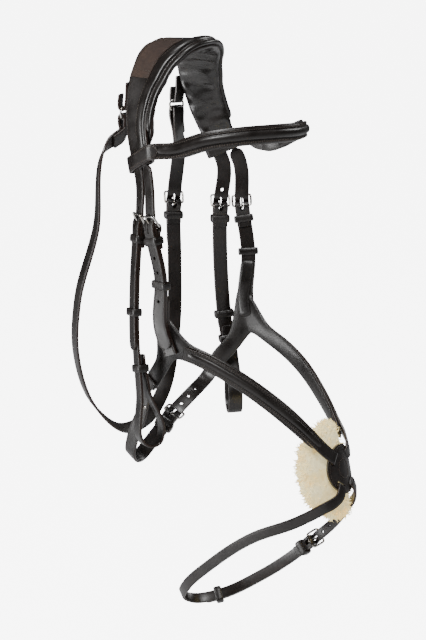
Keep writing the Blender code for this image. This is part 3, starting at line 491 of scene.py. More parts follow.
def mark(mesh, label, values):
    """A number at each point, for the materials."""
    attribute = mesh.attributes.new(label, "FLOAT", "POINT")
    attribute.data.foreach_set("value", values.astype(np.float32).ravel())


def grid_mesh(name, points, uv, rim, cut, joined=False):
    """A mesh from rings of points, closed round each ring. The last ring is joined to the first,
    or both ends are filled."""
    rings, sides = points.shape[:2]
    mesh = bpy.data.meshes.new(name)
    index = np.arange(rings * sides).reshape(rings, sides)
    if joined:
        faces = ring_quads(np.concatenate([index, index[:1]])).tolist()
    else:
        faces = ring_quads(index).tolist() + [index[0][::-1].tolist(), index[-1].tolist()]
    mesh.from_pydata(points.reshape(-1, 3).tolist(), [], faces)
    layer = mesh.uv_layers.new(name="strap")
    corner = np.empty(len(mesh.loops), dtype=np.int32)
    mesh.loops.foreach_get("vertex_index", corner)
    layer.data.foreach_set("uv", uv.reshape(-1, 2)[corner].astype(np.float32).ravel())
    mark(mesh, "rim", rim)
    mark(mesh, "cut", cut)
    shape = bmesh.new()
    shape.from_mesh(mesh)
    bmesh.ops.recalc_face_normals(shape, faces=shape.faces)
    shape.to_mesh(mesh)
    shape.free()
    mesh.shade_smooth()
    mesh.set_sharp_from_angle(angle=smooth_limit)
    return mesh


def swept_mesh(name, centre, edge, face, station, across, through, rim, cut):
    """Rings at centre + edge * across + face * through, with across and through known for every
    row and for every point round it."""
    points = (centre[:, None] + edge[:, None] * across[..., None]
              + face[:, None] * through[..., None])
    uv = np.stack([np.broadcast_to(station[:, None], across.shape), across], axis=2)
    return grid_mesh(name, points, uv, rim, cut)


def strap_profile():
    """A rounded strip as shares of the half width and half thickness, and corner signs.

    Each corner is a quarter turn; the front has three more points between its corners."""
    turn = np.radians((0.0, 30.0, 60.0, 90.0))
    points = []
    for sign_u, sign_v, arc in ((1, -1, turn[::-1]), (1, 1, turn), (-1, 1, turn[::-1]),
                                (-1, -1, turn)):
        points += [(sign_u, sign_v, cos(a), sin(a)) for a in arc]
        if (sign_u, sign_v) == (1, 1):
            points += [(u, 1, 0.0, 1.0) for u in (0.5, 0.0, -0.5)]
    return np.array(points)


def strap_mesh(name, rows, dome=strap_dome):
    """The profile swept along the rows, with the corners rounded by edge_round, the front raised
    by dome * (1 - (across / half)^2), and both ends drawn in by the same radius."""
    centre, edge, face, half, deep, station = rows.lines()
    along = unit(np.gradient(centre, axis=0))
    last = len(half) - 1
    used = np.concatenate([[0, 0], np.arange(1, last), [last] * 2])
    inset, shift = np.zeros((2, len(used)))
    inset[[0, -1]] = edge_round
    shift[1], shift[-2] = edge_round, -edge_round
    h = (half[used] - inset)[:, None]
    d = (deep[used] - inset)[:, None]
    sign_u, sign_v, arc_u, arc_v = strap_profile().T
    on_arc = np.abs(sign_u) == 1
    across = np.where(on_arc, sign_u * (h - edge_round + edge_round * arc_u), sign_u * h)
    through = sign_v * (d - edge_round + edge_round * arc_v)
    through = through + np.where(sign_v > 0, dome * (1 - (across / h) ** 2), 0.0)
    cut = np.where(on_arc, arc_u, 0.0) * np.ones_like(across)
    return swept_mesh(name, centre[used] + along[used] * shift[:, None], edge[used], face[used],
                      station[used], across, through, h - np.abs(across), cut)


def settle(item):
    """Makes the object's modifiers final in its mesh."""
    bpy.context.view_layer.update()
    graph = bpy.context.evaluated_depsgraph_get()
    mesh = bpy.data.meshes.new_from_object(item.evaluated_get(graph),
                                           preserve_all_data_layers=True, depsgraph=graph)
    item.modifiers.clear()
    item.data = mesh


def punch_holes(item, rows):
    """Cuts the solid's holes again, each an oval as long and wide as the hole's own rim. Where
    the strap bends, the hole goes square through its edge direction."""
    centre, edge, _, _, deep, _ = rows.lines()
    shape = bmesh.new()
    for rim, normal in rows.holes:
        middle = (rim.min(axis=0) + rim.max(axis=0)) / 2
        row = np.linalg.norm(centre - middle, axis=1).argmin()
        side = Vector(edge[row])
        flat = np.linalg.norm(normal) > flat_hole_normal
        normal = Vector(normal).normalized()
        through = normal if flat else side.cross(normal).normalized()
        length = through.cross(side).normalized()
        axes = np.array([length.cross(through), length, through])
        spread = (rim - middle) @ axes.T
        low, high = spread.min(axis=0), spread.max(axis=0)
        if flat:
            low[2], high[2] = -deep[row] * 4, deep[row] * 2
        else:
            low[2], high[2] = low[2] - deep[row], high[2] + deep[row]
        low, high = low * hole_ease, high * hole_ease
        matrix = Matrix.Identity(4)
        for column in range(3):
            matrix.col[column][:3] = axes[column] * (high[column] - low[column]) / 2
        matrix.col[3][:3] = middle + ((low + high) / 2) @ axes
        made = bmesh.ops.create_cone(shape, cap_ends=True, segments=hole_sides, radius1=1,
                                     radius2=1, depth=2)
        bmesh.ops.transform(shape, matrix=matrix, verts=made["verts"])
    mesh = bpy.data.meshes.new("punch")
    shape.to_mesh(mesh)
    shape.free()
    cutter = in_scene("punch", mesh)
    boolean = item.modifiers.new("holes", "BOOLEAN")
    boolean.operation = "DIFFERENCE"
    boolean.object = cutter
    settle(item)
    bpy.data.objects.remove(cutter, do_unlink=True)


def add_piece(mesh, body, nodes=(), material=black_leather):
    """A finished piece on its body, which stands for the named solids."""
    item = in_scene(mesh.name, mesh)
    mesh.materials.append(material)
    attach(item, body)
    if nodes:
        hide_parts(*nodes)
    return item


node_body = {node: body for body, nodes in frame["record"]["behaviour"]["bodies"].items()
             for node in nodes}
strap_rows = {}
for node in ("throat_billet", "throat_strap", "near_ring_tab", "far_ring_tab", "browband",
             "near_cheek_billet", "near_cheek_strap", "far_cheek_billet", "far_cheek_strap",
             "near_hanger_billet", "near_hanger", "far_hanger_billet", "far_hanger",
             "near_nose_strap", "far_nose_strap", "jaw_billet", "jaw_strap", "chin_billet",
             "chin_strap"):
    rows = strap_rows[node] = read_rows(node).smooth()
    if node.endswith(("_cheek_billet", "_hanger_billet")):
        # The root of this billet is lengthened, up into the seam that holds it.
        first, second = rows.corners[:, :1], rows.corners[:, 1:2]
        reach = unit((second - first).mean(axis=0)) * root_reach
        rows.corners = np.concatenate([first - reach, rows.corners], axis=1)
    piece = add_piece(strap_mesh(node + "_leather", rows), node_body[node], (node,))
    if rows.holes:
        punch_holes(piece, rows)

# Thread
# Waxed dark thread. Every stitch is its own short, plump length that dips into the leather at
# both ends and lies along the line that it is sewn on.
thread_colour = (0.085, 0.066, 0.054)
thread_sink = 0.00005
stitch_pitch = 0.0031
stitch_half = 0.00118
stitch_radius = 0.00034
stitch_arch = 0.00022
stitch_sides = 6
stitch_shares = np.array((-0.98, -0.6, 0.0, 0.6, 0.98))
run_step = 0.002

# Twisted thread: a spiral of light and dark with a waxy sheen.
dark_thread, tree, shader = new_material("dark_thread")
place = object_place(tree)
twist = add_node(tree, "ShaderNodeTexWave", (("bands_direction", "DIAGONAL"),), Vector=place,
                 Scale=900.0, Distortion=1.5).outputs["Fac"]
fuzz = noise(tree, place, 2600.0, 2.0)
tint = math_node(tree, "ADD", math_node(tree, "MULTIPLY", twist, 0.6),
                 math_node(tree, "MULTIPLY", fuzz, 0.4))
feed(tree, shader.inputs, Roughness=ranged(tree, fuzz, 0.3, 0.7, 0.34, 0.55),
     Base_Color=mix_colour(tree, tint, tuple(c * 0.55 for c in thread_colour),
                           tuple(c * 1.5 for c in thread_colour)))
raise_surface(tree, shader, twist, 0.6, 0.0002)


def sew(name, runs, body, pitch=stitch_pitch, half=stitch_half, radius=stitch_radius, slant=0.0):
    """Stitches at every pitch along runs of (points, outward directions).

    One stitch is place + along * half * t + out * arch * (1 - t^2) + ring * radius * sqrt(1 - t^4),
    with t from -1 to 1, and all of them are worked out as one array."""
    spots, alongs, outs = [], [], []
    for points, out in runs:
        length = stations_of(points)
        count = max(2, int(length[-1] / pitch))
        at = (np.arange(count) + 0.5) * length[-1] / count
        spots.append(read_off(at, length, points))
        outs.append(read_off(at, length, out))
        alongs.append(read_off(at + half, length, points) - read_off(at - half, length, points))
    spots, alongs, outs = (np.concatenate(values) for values in (spots, alongs, outs))
    alongs = unit(alongs)
    outs = unit(outs - alongs * (outs * alongs).sum(axis=1)[:, None])
    sides = np.cross(alongs, outs)
    alongs, sides = (alongs * cos(slant) + sides * sin(slant),
                     sides * cos(slant) - alongs * sin(slant))
    t = stitch_shares
    turn = np.linspace(0.0, 2 * pi, stitch_sides, endpoint=False)
    thick = (radius * np.sqrt(1 - t**4))[:, None]
    shape = np.stack([np.repeat(t * half, stitch_sides), (thick * np.cos(turn)).ravel(),
                      (thick * np.sin(turn) + (stitch_arch * (1 - t**2))[:, None]).ravel()])
    points = (spots[:, None] + alongs[:, None] * shape[0][:, None]
              + sides[:, None] * shape[1][:, None] + outs[:, None] * shape[2][:, None])
    ring = np.arange(len(t) * stitch_sides).reshape(len(t), stitch_sides)
    quads = ring_quads(ring)[:, (0, 3, 2, 1)]
    caps = np.array([ring[0], ring[-1][::-1]])
    base = np.arange(len(spots))[:, None, None] * ring.size
    faces = ((quads + base).reshape(-1, 4).tolist()
             + (caps + base).reshape(-1, stitch_sides).tolist())
    mesh = bpy.data.meshes.new(name)
    mesh.from_pydata(points.reshape(-1, 3).tolist(), [], faces)
    mesh.shade_smooth()
    add_piece(mesh, body, material=dark_thread)


def face_points(rows, stations, across, dome=strap_dome):
    """Points on a strap's domed front at distances across from its middle, with the way out."""
    centre, edge, face, half, deep = rows.at(stations)
    across = across * np.ones(len(stations))
    rise = deep + dome * (1 - (across / half) ** 2) - thread_sink
    return centre + edge * across[:, None] + face * rise[:, None], face


def line_on(rows, start, end, across):
    """The same at even steps from start to end."""
    count = max(2, int(abs(end - start) / run_step))
    return face_points(rows, np.linspace(start, end, count), across)


fold_length = 0.0098
turn_back_length = 0.024
fold_gap = 0.006
throat_fold = {"turned": 0.034, "gap": 0.010}
seam_inset = 0.0026
seam_margin = 0.003
loose_edge = 0.001


def sewn_fold(node, from_end=False, turned=turn_back_length, gap=fold_gap):
    """Two rows of stitches each side of a fold, through the strap and its turned-back end."""
    rows = strap_rows[node]
    reach = rows.lines()[3].max() - seam_inset
    whole = rows.length()
    past_fold = turned + fold_length
    runs = []
    for across in (-reach, reach):
        for start, end in ((seam_margin, turned - gap),
                           (past_fold + gap, past_fold + turned - loose_edge)):
            if from_end:
                start, end = whole - start, whole - end
            runs.append(line_on(rows, start, end, across))
    return runs


for prefix, body, runs in (
        ("throat", "throatlatch", sewn_fold("throat_billet", **throat_fold)
         + sewn_fold("throat_strap", **throat_fold) + sewn_fold("throat_strap", from_end=True)),
        ("near_cheek", "near_cheek", sewn_fold("near_cheek_strap")),
        ("far_cheek", "far_cheek", sewn_fold("far_cheek_strap")),
        ("near_hanger", "noseband", sewn_fold("near_hanger")),
        ("far_hanger", "noseband", sewn_fold("far_hanger")),
        ("jaw", "noseband", sewn_fold("jaw_strap"))):
    sew(prefix + "_stitches", runs, body)

# Browband
# A raised, padded middle runs along the strap between two rows of fancy stitching. Each end is
# sewn down over its loop with a round-ended tab.
brow_rows = strap_rows["browband"]
brow_length = brow_rows.length()
ridge_start = 0.110
ridge_end = brow_length - ridge_start
ridge_half = 0.0046
ridge_height = 0.0032
ridge_off_middle = 0.0004
ridge_taper = 0.030
plain_taper = 0.012
ridge_step = 0.0025
ridge_power = 0.8
inside_rim = 0.004
brow_seams = (-0.0061, -0.0070, 0.0065)
seam_past_ridge = 0.002
fancy_stitch = {"pitch": 0.0026, "half": 0.0009}
tab_length = 0.047
tab_half = 0.0076
tab_thickness = 0.0014
tab_lift = 0.0001
tab_seam_inset = 0.0016
tab_starts = {"near": 0.066, "far": brow_length - 0.113}


def round_share(distance, radius, least):
    """1, falling to the least as a quarter circle does within the radius of an end."""
    reach = np.clip(distance / radius, 0.0, 1.0)
    return np.sqrt(np.clip(1 - (1 - reach) ** 2, least, 1.0))


def end_swell(stations, taper, least):
    """The round share at both ends of a piece, as a column."""
    near_end = np.minimum(stations - stations[0], stations[-1] - stations)
    return round_share(near_end, taper, least)[:, None]


def box_rows(middle, side, top):
    """Rows whose corners lie a side and a top away from the middle."""
    return Rows(np.stack([middle - side + top, middle + side + top,
                          middle - side - top, middle + side - top]))


def ridge_mesh(name, rows, start, end, half, height, across=0.0, taper=plain_taper):
    """A raised roll: at each station, across * cos(a) and height * sin(a)^power over the front,
    with a from 0 to pi, drawn in at both ends over the taper and closed by a base just inside."""
    stations = np.linspace(start, end, max(8, int((end - start) / ridge_step)))
    centre, edge, face, _, deep = rows.at(stations)
    swell = end_swell(stations, taper, 0.02)
    a = np.linspace(0.0, pi, 11)
    u = np.concatenate([np.cos(a), (-0.5, 0.5)])
    w = np.concatenate([np.abs(np.sin(a)) ** ridge_power, (-0.06, -0.06)])
    reach = half * (0.35 + 0.65 * swell) * u
    rise = height * swell * w - 0.0001
    mesh = swept_mesh(name, centre, edge, face, stations, across + reach, deep[:, None] + rise,
                      np.full(reach.shape, inside_rim), np.zeros_like(reach))
    mesh.shade_smooth()
    return mesh


add_piece(ridge_mesh("browband_ridge", brow_rows, ridge_start, ridge_end, ridge_half,
                     ridge_height, across=ridge_off_middle, taper=ridge_taper), "browband")
sew("browband_stitches", [
    line_on(brow_rows, ridge_start - seam_past_ridge, ridge_end + seam_past_ridge, across)
    for across in brow_seams], "browband", radius=0.00042, **fancy_stitch)
tab_runs = []
for label, start in tab_starts.items():
    stations = np.linspace(start, start + tab_length, 45)
    from_round_end = stations[-1] - stations if label == "near" else stations - stations[0]
    half = tab_half * round_share(from_round_end, tab_half, 0.06)
    centre, edge, face, _, deep = brow_rows.at(stations)
    tab = box_rows(centre + face * (deep + tab_lift + tab_thickness / 2)[:, None],
                   edge * half[:, None], face * tab_thickness / 2)
    add_piece(strap_mesh(label + "_brow_tab", tab), "browband")
    centre, edge, face, half, deep, _ = tab.lines()
    for side in (-1, 1):
        tab_runs.append((centre + edge * (side * (half - tab_seam_inset))[:, None]
                         + face * (deep * 1.1)[:, None], face))
sew("brow_tab_stitches", tab_runs, "browband", radius=0.00044, **fancy_stitch)

# Headpiece
# Wide leather over the poll, with a brown suede inset, a roll along its front edge and a piped
# rim in front of the roll.
crown_dome = 0.0006
panel_bevel = 0.0004
crown_rows = strap_rows["crown_leather"] = read_rows("crown_leather", end_middle=1).smooth()
crown_length = crown_rows.length()
add_piece(strap_mesh("crown_face", crown_rows, dome=crown_dome), "headpiece", ("crown_leather",))


def smooth_copy(node, name, material, bevel=0.0):
    """The node's own form with its facets smoothed, or its corners rounded by a bevel."""
    shape = merged(node)
    bmesh.ops.join_triangles(shape, faces=shape.faces, angle_face_threshold=radians(50),
                             angle_shape_threshold=radians(60))
    mesh = bpy.data.meshes.new(name)
    shape.to_mesh(mesh)
    shape.free()
    item = add_piece(mesh, node_body[node], (node,), material)
    mesh.shade_smooth()
    if bevel:
        rounding = item.modifiers.new("rounding", "BEVEL")
        rounding.width = bevel
        rounding.segments = 3
        rounding.limit_method = "ANGLE"
        rounding.angle_limit = radians(38)
        mesh.set_sharp_from_angle(angle=radians(60))
    else:
        smoothing = item.modifiers.new("smoothing", "SUBSURF")
        smoothing.levels = smoothing.render_levels = 1
    return item


suede = leather("brown_suede", (0.046, 0.026, 0.018), (0.066, 0.039, 0.027),
                (0.026, 0.015, 0.011), roughness=(0.62, 0.85), bump=0.20, coat=0.0, pebble=2200.0)
smooth_copy("crown_panel", "crown_inset", suede, bevel=panel_bevel)

# Padded lining
# Soft pebbled leather over foam behind the headpiece, the browband and the noseband. It swells
# between its seams, wrinkles where it bends and rolls over its own edge.
cushion_sides = 36
crown_lining_wider = 0.0022
brow_lining_wider = 0.0016
crown_lining_shares = (0.058, 0.942)
brow_lining_inset = 0.127
lining = leather("pebbled_lining", (0.0120, 0.0096, 0.0086), (0.021, 0.017, 0.015),
                 (0.030, 0.016, 0.011), roughness=(0.20, 0.34), bump=0.12, coat=0.60, pebble=620.0)


def cushion_mesh(name, rows, stations, half, behind, outer, inner, ends, wrinkle=0.0, seed=1.0):
    """A crowned cushion behind a strap. Round each section a runs from 0 to 2 pi: across is
    |cos a|^0.45 of the half width, and through is |sin a|^0.75 of outer or inner depth. Soft
    waves of the station and of across stand for wrinkles on the inner side."""
    centre, edge, face, _, deep = rows.at(stations)
    centre = centre - face * (deep + behind)[:, None]
    a = np.linspace(0.0, 2 * pi, cushion_sides, endpoint=False)
    u = np.sign(np.cos(a)) * np.abs(np.cos(a)) ** 0.45
    w = np.sign(np.sin(a)) * np.abs(np.sin(a)) ** 0.75
    station = stations_of(centre)
    swell = end_swell(station, ends, 0.03)
    reach = half[:, None] * u * (0.6 + 0.4 * swell)
    depth = np.where(w > 0, outer * w, inner * w) * swell
    ripple = (np.sin(station * 210 + seed)[:, None] * np.sin(u * 2.1 + seed)
              + 0.6 * np.sin(station * 470 + seed * 3)[:, None] * np.cos(u * 3.3 - seed)
              + 0.5 * np.sin(station[:, None] * 120 + u * 3.0))
    depth = depth + np.where(w < 0, wrinkle * ripple * np.abs(w), 0.0)
    rim = np.abs(half[:, None] - np.abs(reach))
    cut = np.clip(1 - np.abs(w) * 2.2, 0.0, 1.0) * np.ones_like(reach)
    mesh = swept_mesh(name, centre, edge, face, station, reach, depth, rim, cut)
    mesh.shade_smooth()
    return mesh


def soft_piece(mesh, material, body, nodes=()):
    """A finished piece whose inside is foam or wool."""
    add_piece(mesh, body, nodes, material)


stations = np.linspace(*(crown_length * share for share in crown_lining_shares), 170)
half = crown_rows.at(stations)[3] + crown_lining_wider
soft_piece(cushion_mesh("crown_lining", crown_rows, stations, half, behind=0.0042, outer=0.0040,
                        inner=0.0056, ends=0.018, wrinkle=0.0016),
           lining, "headpiece", ("crown_padding",))
stations = np.linspace(brow_lining_inset, brow_length - brow_lining_inset, 90)
half = brow_rows.at(stations)[3] + brow_lining_wider
soft_piece(cushion_mesh("brow_lining", brow_rows, stations, half, behind=0.0026, outer=0.0019,
                        inner=0.0024, ends=0.02, wrinkle=0.0003, seed=2.0),
           lining, "browband", ("browband_padding",))

# Front roll of the headpiece
# A padded roll of black leather runs inside the front edge from side to side, with a sewn channel
# behind it and a thin piped rim in front. Both are stitched through to the lining.
rim_radius = 0.0027
rim_half_width = rim_radius * 1.5
rim_past_edge = rim_radius * 0.55
rim_behind = 0.0016
rim_shares = (0.095, 0.905)
rim_taper = 0.010
roll_shares = (0.03, 0.97)
roll_inset = 0.0080
roll_half = 0.0062
roll_height = 0.0034
panel_seam_inset = 0.0018
panel_seam_sink = 0.0001
panel_seam_rows = (2, -3)
crown_seam_insets = ((0.0154, 1), (0.0030, -1))
crown_seam_shares = (0.09, 0.91)
front_sign = float(np.sign(-crown_rows.lines()[1][:, 1].mean()))


def crown_line(inset, shares, towards=1):
    """Stations and distances across the headpiece that keep an inset from one long edge."""
    stations = np.linspace(crown_length * shares[0], crown_length * shares[1], 150)
    return stations, front_sign * towards * (crown_rows.at(stations)[3] - inset)


def tube_mesh(name, centre, side, face, half_side, half_face):
    """An oval tube: centre + side * a cos(t) + face * b sin(t), rounded off at both ends."""
    station = stations_of(centre)
    swell = end_swell(station, rim_taper, 0.01)
    t = np.linspace(0.0, 2 * pi, 16, endpoint=False)
    u, w = half_side * swell * np.cos(t), half_face * swell * np.sin(t)
    return swept_mesh(name, centre, side, face, station, u, w, np.full(u.shape, inside_rim),
                      np.zeros(u.shape))


stations, across = crown_line(0.0, rim_shares)
centre, edge, face, half, deep = crown_rows.at(stations)
centre = centre + edge * (across + front_sign * rim_past_edge)[:, None] - face * rim_behind
add_piece(tube_mesh("crown_rim", centre, edge * front_sign, face, rim_half_width, rim_radius),
          "headpiece", ("crown_piping",))
stations, across = crown_line(roll_inset, roll_shares)
centre, edge, face, half, deep = crown_rows.at(stations)
roll_rows = box_rows(centre + edge * across[:, None], edge * roll_half, face * deep[:, None])
add_piece(ridge_mesh("crown_roll", roll_rows, 0.0, roll_rows.length(), roll_half, roll_height),
          "headpiece")
crown_runs = []
centre, edge, face, half, deep, _ = read_rows("crown_panel", end_middle=1).smooth().lines()
top = face * (deep - panel_seam_sink)[:, None]
for side in (-1, 1):
    crown_runs.append((centre + edge * (side * (half - panel_seam_inset))[:, None] + top, face))
shares = np.linspace(-0.92, 0.92, 30)[:, None]
for row in panel_seam_rows:
    crown_runs.append((centre[row] + edge[row] * half[row] * shares + top[row],
                       np.repeat(face[row][None], len(shares), axis=0)))
for inset, towards in crown_seam_insets:
    crown_runs.append(face_points(crown_rows, *crown_line(inset, crown_seam_shares, towards),
                                  dome=crown_dome))
sew("crown_stitches", crown_runs, "headpiece", pitch=0.0034)

# Keepers and runners
# Short loops of the same leather, each bent round its strap and butted at the back. The outside is
# domed between its two creased rims.
keeper_wall = 0.0017
keeper_corner = keeper_wall * 1.5
keeper_dome = 0.00035
keeper_rim_drop = 0.00045


def keeper_axes(node):
    """The solid's points, and edge, face and length axes of its own that lie nearest to those of
    the strap that it goes round."""
    shape = merged(node)
    points = np.array([corner.co for corner in shape.verts])
    spread = sum(face.calc_area() * np.outer(face.normal, face.normal) for face in shape.faces)
    shape.free()
    axes = np.linalg.eigh(spread)[1].T
    middle = (points.min(axis=0) + points.max(axis=0)) / 2
    lines = [rows.lines()[:3] for rows in strap_rows.values()]
    centre, edge, face = min(lines, key=lambda found: np.linalg.norm(
        found[0] - middle, axis=1).min())
    row = np.linalg.norm(centre - middle, axis=1).argmin()
    face_axis = max(axes, key=lambda axis: abs(axis @ face[row]))
    edge_axis = max(axes, key=lambda axis: abs(axis @ edge[row]))
    return points, np.stack([edge_axis, face_axis, np.cross(edge_axis, face_axis)])


def keeper_path(a, b):
    """A rounded rectangle of half sizes a and b, with its outward directions: a quarter turn at
    each corner and four points along the side that follows."""
    inner_a, inner_b = a - keeper_corner, b - keeper_corner
    turn = np.linspace(0.0, pi / 2, 7)
    shares = np.array((0.2, 0.4, 0.6, 0.8))[:, None]
    path, outward = [], []
    for quarter, (sign_a, sign_b) in enumerate(((1, 1), (-1, 1), (-1, -1), (1, -1))):
        angle = turn + quarter * pi / 2
        out = np.stack([np.cos(angle), np.sin(angle)], axis=1)
        if quarter % 2:
            ends = np.array(((sign_a * a, sign_b * inner_b), (sign_a * a, -sign_b * inner_b)))
        else:
            ends = np.array(((sign_a * inner_a, sign_b * b), (-sign_a * inner_a, sign_b * b)))
        path += [np.array((sign_a * inner_a, sign_b * inner_b)) + out * keeper_corner,
                 ends[0] * (1 - shares) + ends[1] * shares]
        outward += [out, np.repeat(out[-1:], 4, axis=0)]
    return np.concatenate(path), np.concatenate(outward)


def keeper_mesh(name, node):
    """The rounded rectangle joined into a loop, whose section is a strip of the keeper's length:
    with v the share of its length, the outer side is raised by dome * (1 - v^2) less a drop of
    v^12 at the rims, and the inner side lies a wall's thickness below."""
    points, axes = keeper_axes(node)
    spread = (points - points.mean(axis=0)) @ axes.T
    low, high = spread.min(axis=0), spread.max(axis=0)
    middle = points.mean(axis=0) + ((low + high) / 2) @ axes
    a, b, length = (high - low) / 2
    path, outward = keeper_path(a, b)
    outer = np.linspace(-1, 1, 9)
    v = np.concatenate([outer, (1, 0.97, 0.4, -0.4, -0.97, -1)])
    depth = np.concatenate([keeper_dome * (1 - outer**2) - keeper_rim_drop * np.abs(outer) ** 12,
                            -keeper_wall * np.array((0.6, 1, 1, 1, 1, 0.6))])
    flat = path[:, None] + outward[:, None] * depth[None, :, None]
    points = (middle + flat[..., :1] * axes[0] + flat[..., 1:] * axes[1]
              + (v * length)[None, :, None] * axes[2])
    shape = points.shape[:2]
    uv = np.stack([np.broadcast_to(stations_of(path)[:, None], shape),
                   np.broadcast_to(v * length, shape)], axis=2)
    rim = np.broadcast_to(length * (1 - np.abs(v)), shape)
    inside = np.broadcast_to(np.where(depth < -keeper_wall * 0.5, 0.8, 0.0), shape)
    return grid_mesh(name, points, uv, rim, inside, joined=True)


for node in node_body:
    if node.endswith(("_keeper", "_runner")):
        add_piece(keeper_mesh(node + "_loop", node), node_body[node], (node,))

# Steel
# Buckles, tongues, rings and hook studs in polished stainless steel, with fine wiping marks and
# faint warm stains.
steel, tree, shader = new_material("polished_steel")
place = object_place(tree)
stain = noise(tree, place, 190.0, 4.0)
wipes = noise(tree, place, 1700.0, 2.0, distortion=2.0)
feed(tree, shader.inputs, Metallic=1.0, Roughness=ranged(tree, wipes, 0.35, 0.65, 0.12, 0.26),
     Base_Color=mix_colour(tree, ranged(tree, stain, 0.42, 0.68), (0.66, 0.65, 0.63),
                           (0.46, 0.40, 0.33)))
raise_surface(tree, shader, wipes, 0.12, 0.0002)
for node in node_body:
    if node.endswith(("_buckle", "_tongue", "_ring", "_stud")):
        smooth_copy(node, node + "_steel", steel)

# Noseband forks
# Padded pieces of lining leather, sewn round and with a red-brown burnished edge. The inner side
# is smooth and swells between the seams.
pad_thickness = 0.0065
pad_swell = 0.0004
pad_swell_reach = 0.004
pad_seam_inset = 0.0042
pad_seam_depth = 0.0003
pad_seam_half = 0.0012
arm_lengths = {"near": 0.0680, "far": 0.0775}
arm_end = 0.012
arm_wider = 1.02
arm_depths = (0.0021, 0.0071)
fork_leather = leather("fork_leather", (0.0100, 0.0080, 0.0072), (0.0165, 0.0135, 0.0120),
                       (0.034, 0.018, 0.012), roughness=(0.27, 0.40), bump=0.03, coat=0.25,
                       pebble=1300.0, crease=0.0026)


def padded_copy(node, name):
    """The node's form, smoothed, with rim and cut marks measured on it: a point is on the edge if
    no point that faces the other way lies within the thickness. The sides swell with the distance
    from the edge, by swell * (1 - exp(-rim / reach)), less a groove on the seam."""
    item = smooth_copy(node, name, fork_leather)
    settle(item)
    mesh = item.data
    places, normals = np.empty((2, len(mesh.vertices) * 3))
    mesh.vertices.foreach_get("co", places)
    mesh.vertices.foreach_get("normal", normals)
    places, normals = places.reshape(-1, 3), normals.reshape(-1, 3)
    apart = np.linalg.norm(places[:, None] - places[None], axis=2)
    on_edge = ~((normals @ normals.T < -0.5) & (apart < pad_thickness)).any(axis=1)
    rim = apart[:, on_edge].min(axis=1)
    seam = np.exp(-((rim - pad_seam_inset) / pad_seam_half) ** 2)
    out = pad_swell * (1 - np.exp(-rim / pad_swell_reach)) - pad_seam_depth * seam
    places += normals * np.where(on_edge, 0.0, out)[:, None]
    mesh.vertices.foreach_set("co", places.ravel())
    mark(mesh, "rim", rim)
    mark(mesh, "cut", on_edge)
    mesh.shade_smooth()


padded_copy("near_nose_pad", "near_fork")
padded_copy("far_nose_pad", "far_fork")

# The third arm of each fork runs up behind the hanger, is sewn to it and thickens to the fork.
for side, arm_length in arm_lengths.items():
    rows = strap_rows[side + "_hanger"]
    stations = np.linspace(rows.length() - arm_length, rows.length() - arm_end, 50)
    half = rows.at(stations)[3] * arm_wider
    thin, thick = arm_depths
    depth = thin + (thick - thin) * np.linspace(0.0, 1.0, 50)[:, None] ** 1.6
    soft_piece(cushion_mesh(side + "_fork_arm", rows, stations, half, behind=0.0020,
                            outer=0.0017, inner=depth, ends=0.008), fork_leather, "noseband")

# Raised noseband straps
# Each front strap is raised over a cord, held by a ladder of stitches on both sides, and sewn along
# the padded arm that carries it.
cord_start = 0.006
cord_end = 0.030
cord_half = 0.0036
cord_height = 0.0019
ladder_across = 0.0052
arm_seam_start = 0.004
arm_seam_end = 0.040
arm_seam_across = 0.0079
arm_seam_behind = 0.00075
for side in ("near", "far"):
    rows = strap_rows[side + "_nose_strap"]
    whole = rows.length()
    start, end = cord_start, whole - cord_end
    add_piece(ridge_mesh(side + "_nose_ridge", rows, start, end, cord_half, cord_height),
              "noseband")
    ladders = [line_on(rows, start, end, across) for across in (-ladder_across, ladder_across)]
    sew(side + "_nose_ladder", ladders, "noseband", pitch=0.0027, half=0.0011, radius=0.0003,
        slant=pi / 2)
    centre, edge, face, half, deep = rows.at(
        np.linspace(arm_seam_start, whole - arm_seam_end, 80))
    arm_runs = [(centre + edge * across - face * (deep + arm_seam_behind)[:, None], face)
                for across in (-arm_seam_across, arm_seam_across)]
    sew(side + "_arm_stitches", arm_runs, "noseband", pitch=0.0030)

# Sewn ends
# Where a strap ends on the piece that carries it, two rows of stitches near its edges go through
# both: the hangers and the jaw strap on the forks, and the ring tabs on the headpiece.
foot_length = 0.026
tab_foot = {"length": 0.020, "inset": 0.0022}
near, far = np.array((-1, 1, 1)), np.array((1, 1, 1))
fork_hub = np.array((0.0941, -0.0483, -0.3153))
fork_heel = np.array((0.0795, -0.0095, -0.3609))
poll_side = np.array((0.080, 0.0, -0.09))


def foot_runs(node, target, length=foot_length, inset=seam_inset):
    """Two rows of stitches at the end of the strap that lies nearer to the target."""
    rows = strap_rows[node]
    centre, _, _, half, _, station = rows.lines()
    whole = station[-1]
    first, last = seam_margin, length
    if np.linalg.norm(centre[-1] - target) < np.linalg.norm(centre[0] - target):
        first, last = whole - length, whole - seam_margin
    reach = half.max() - inset
    return [line_on(rows, first, last, across) for across in (-reach, reach)]


sew("noseband_feet_stitches", foot_runs("near_hanger", fork_hub * near)
    + foot_runs("far_hanger", fork_hub * far) + foot_runs("jaw_strap", fork_heel * near)
    + foot_runs("jaw_billet", fork_heel * far), "noseband")
sew("tab_stitches", foot_runs("near_ring_tab", poll_side * near, **tab_foot)
    + foot_runs("far_ring_tab", poll_side * far, **tab_foot), "headpiece")

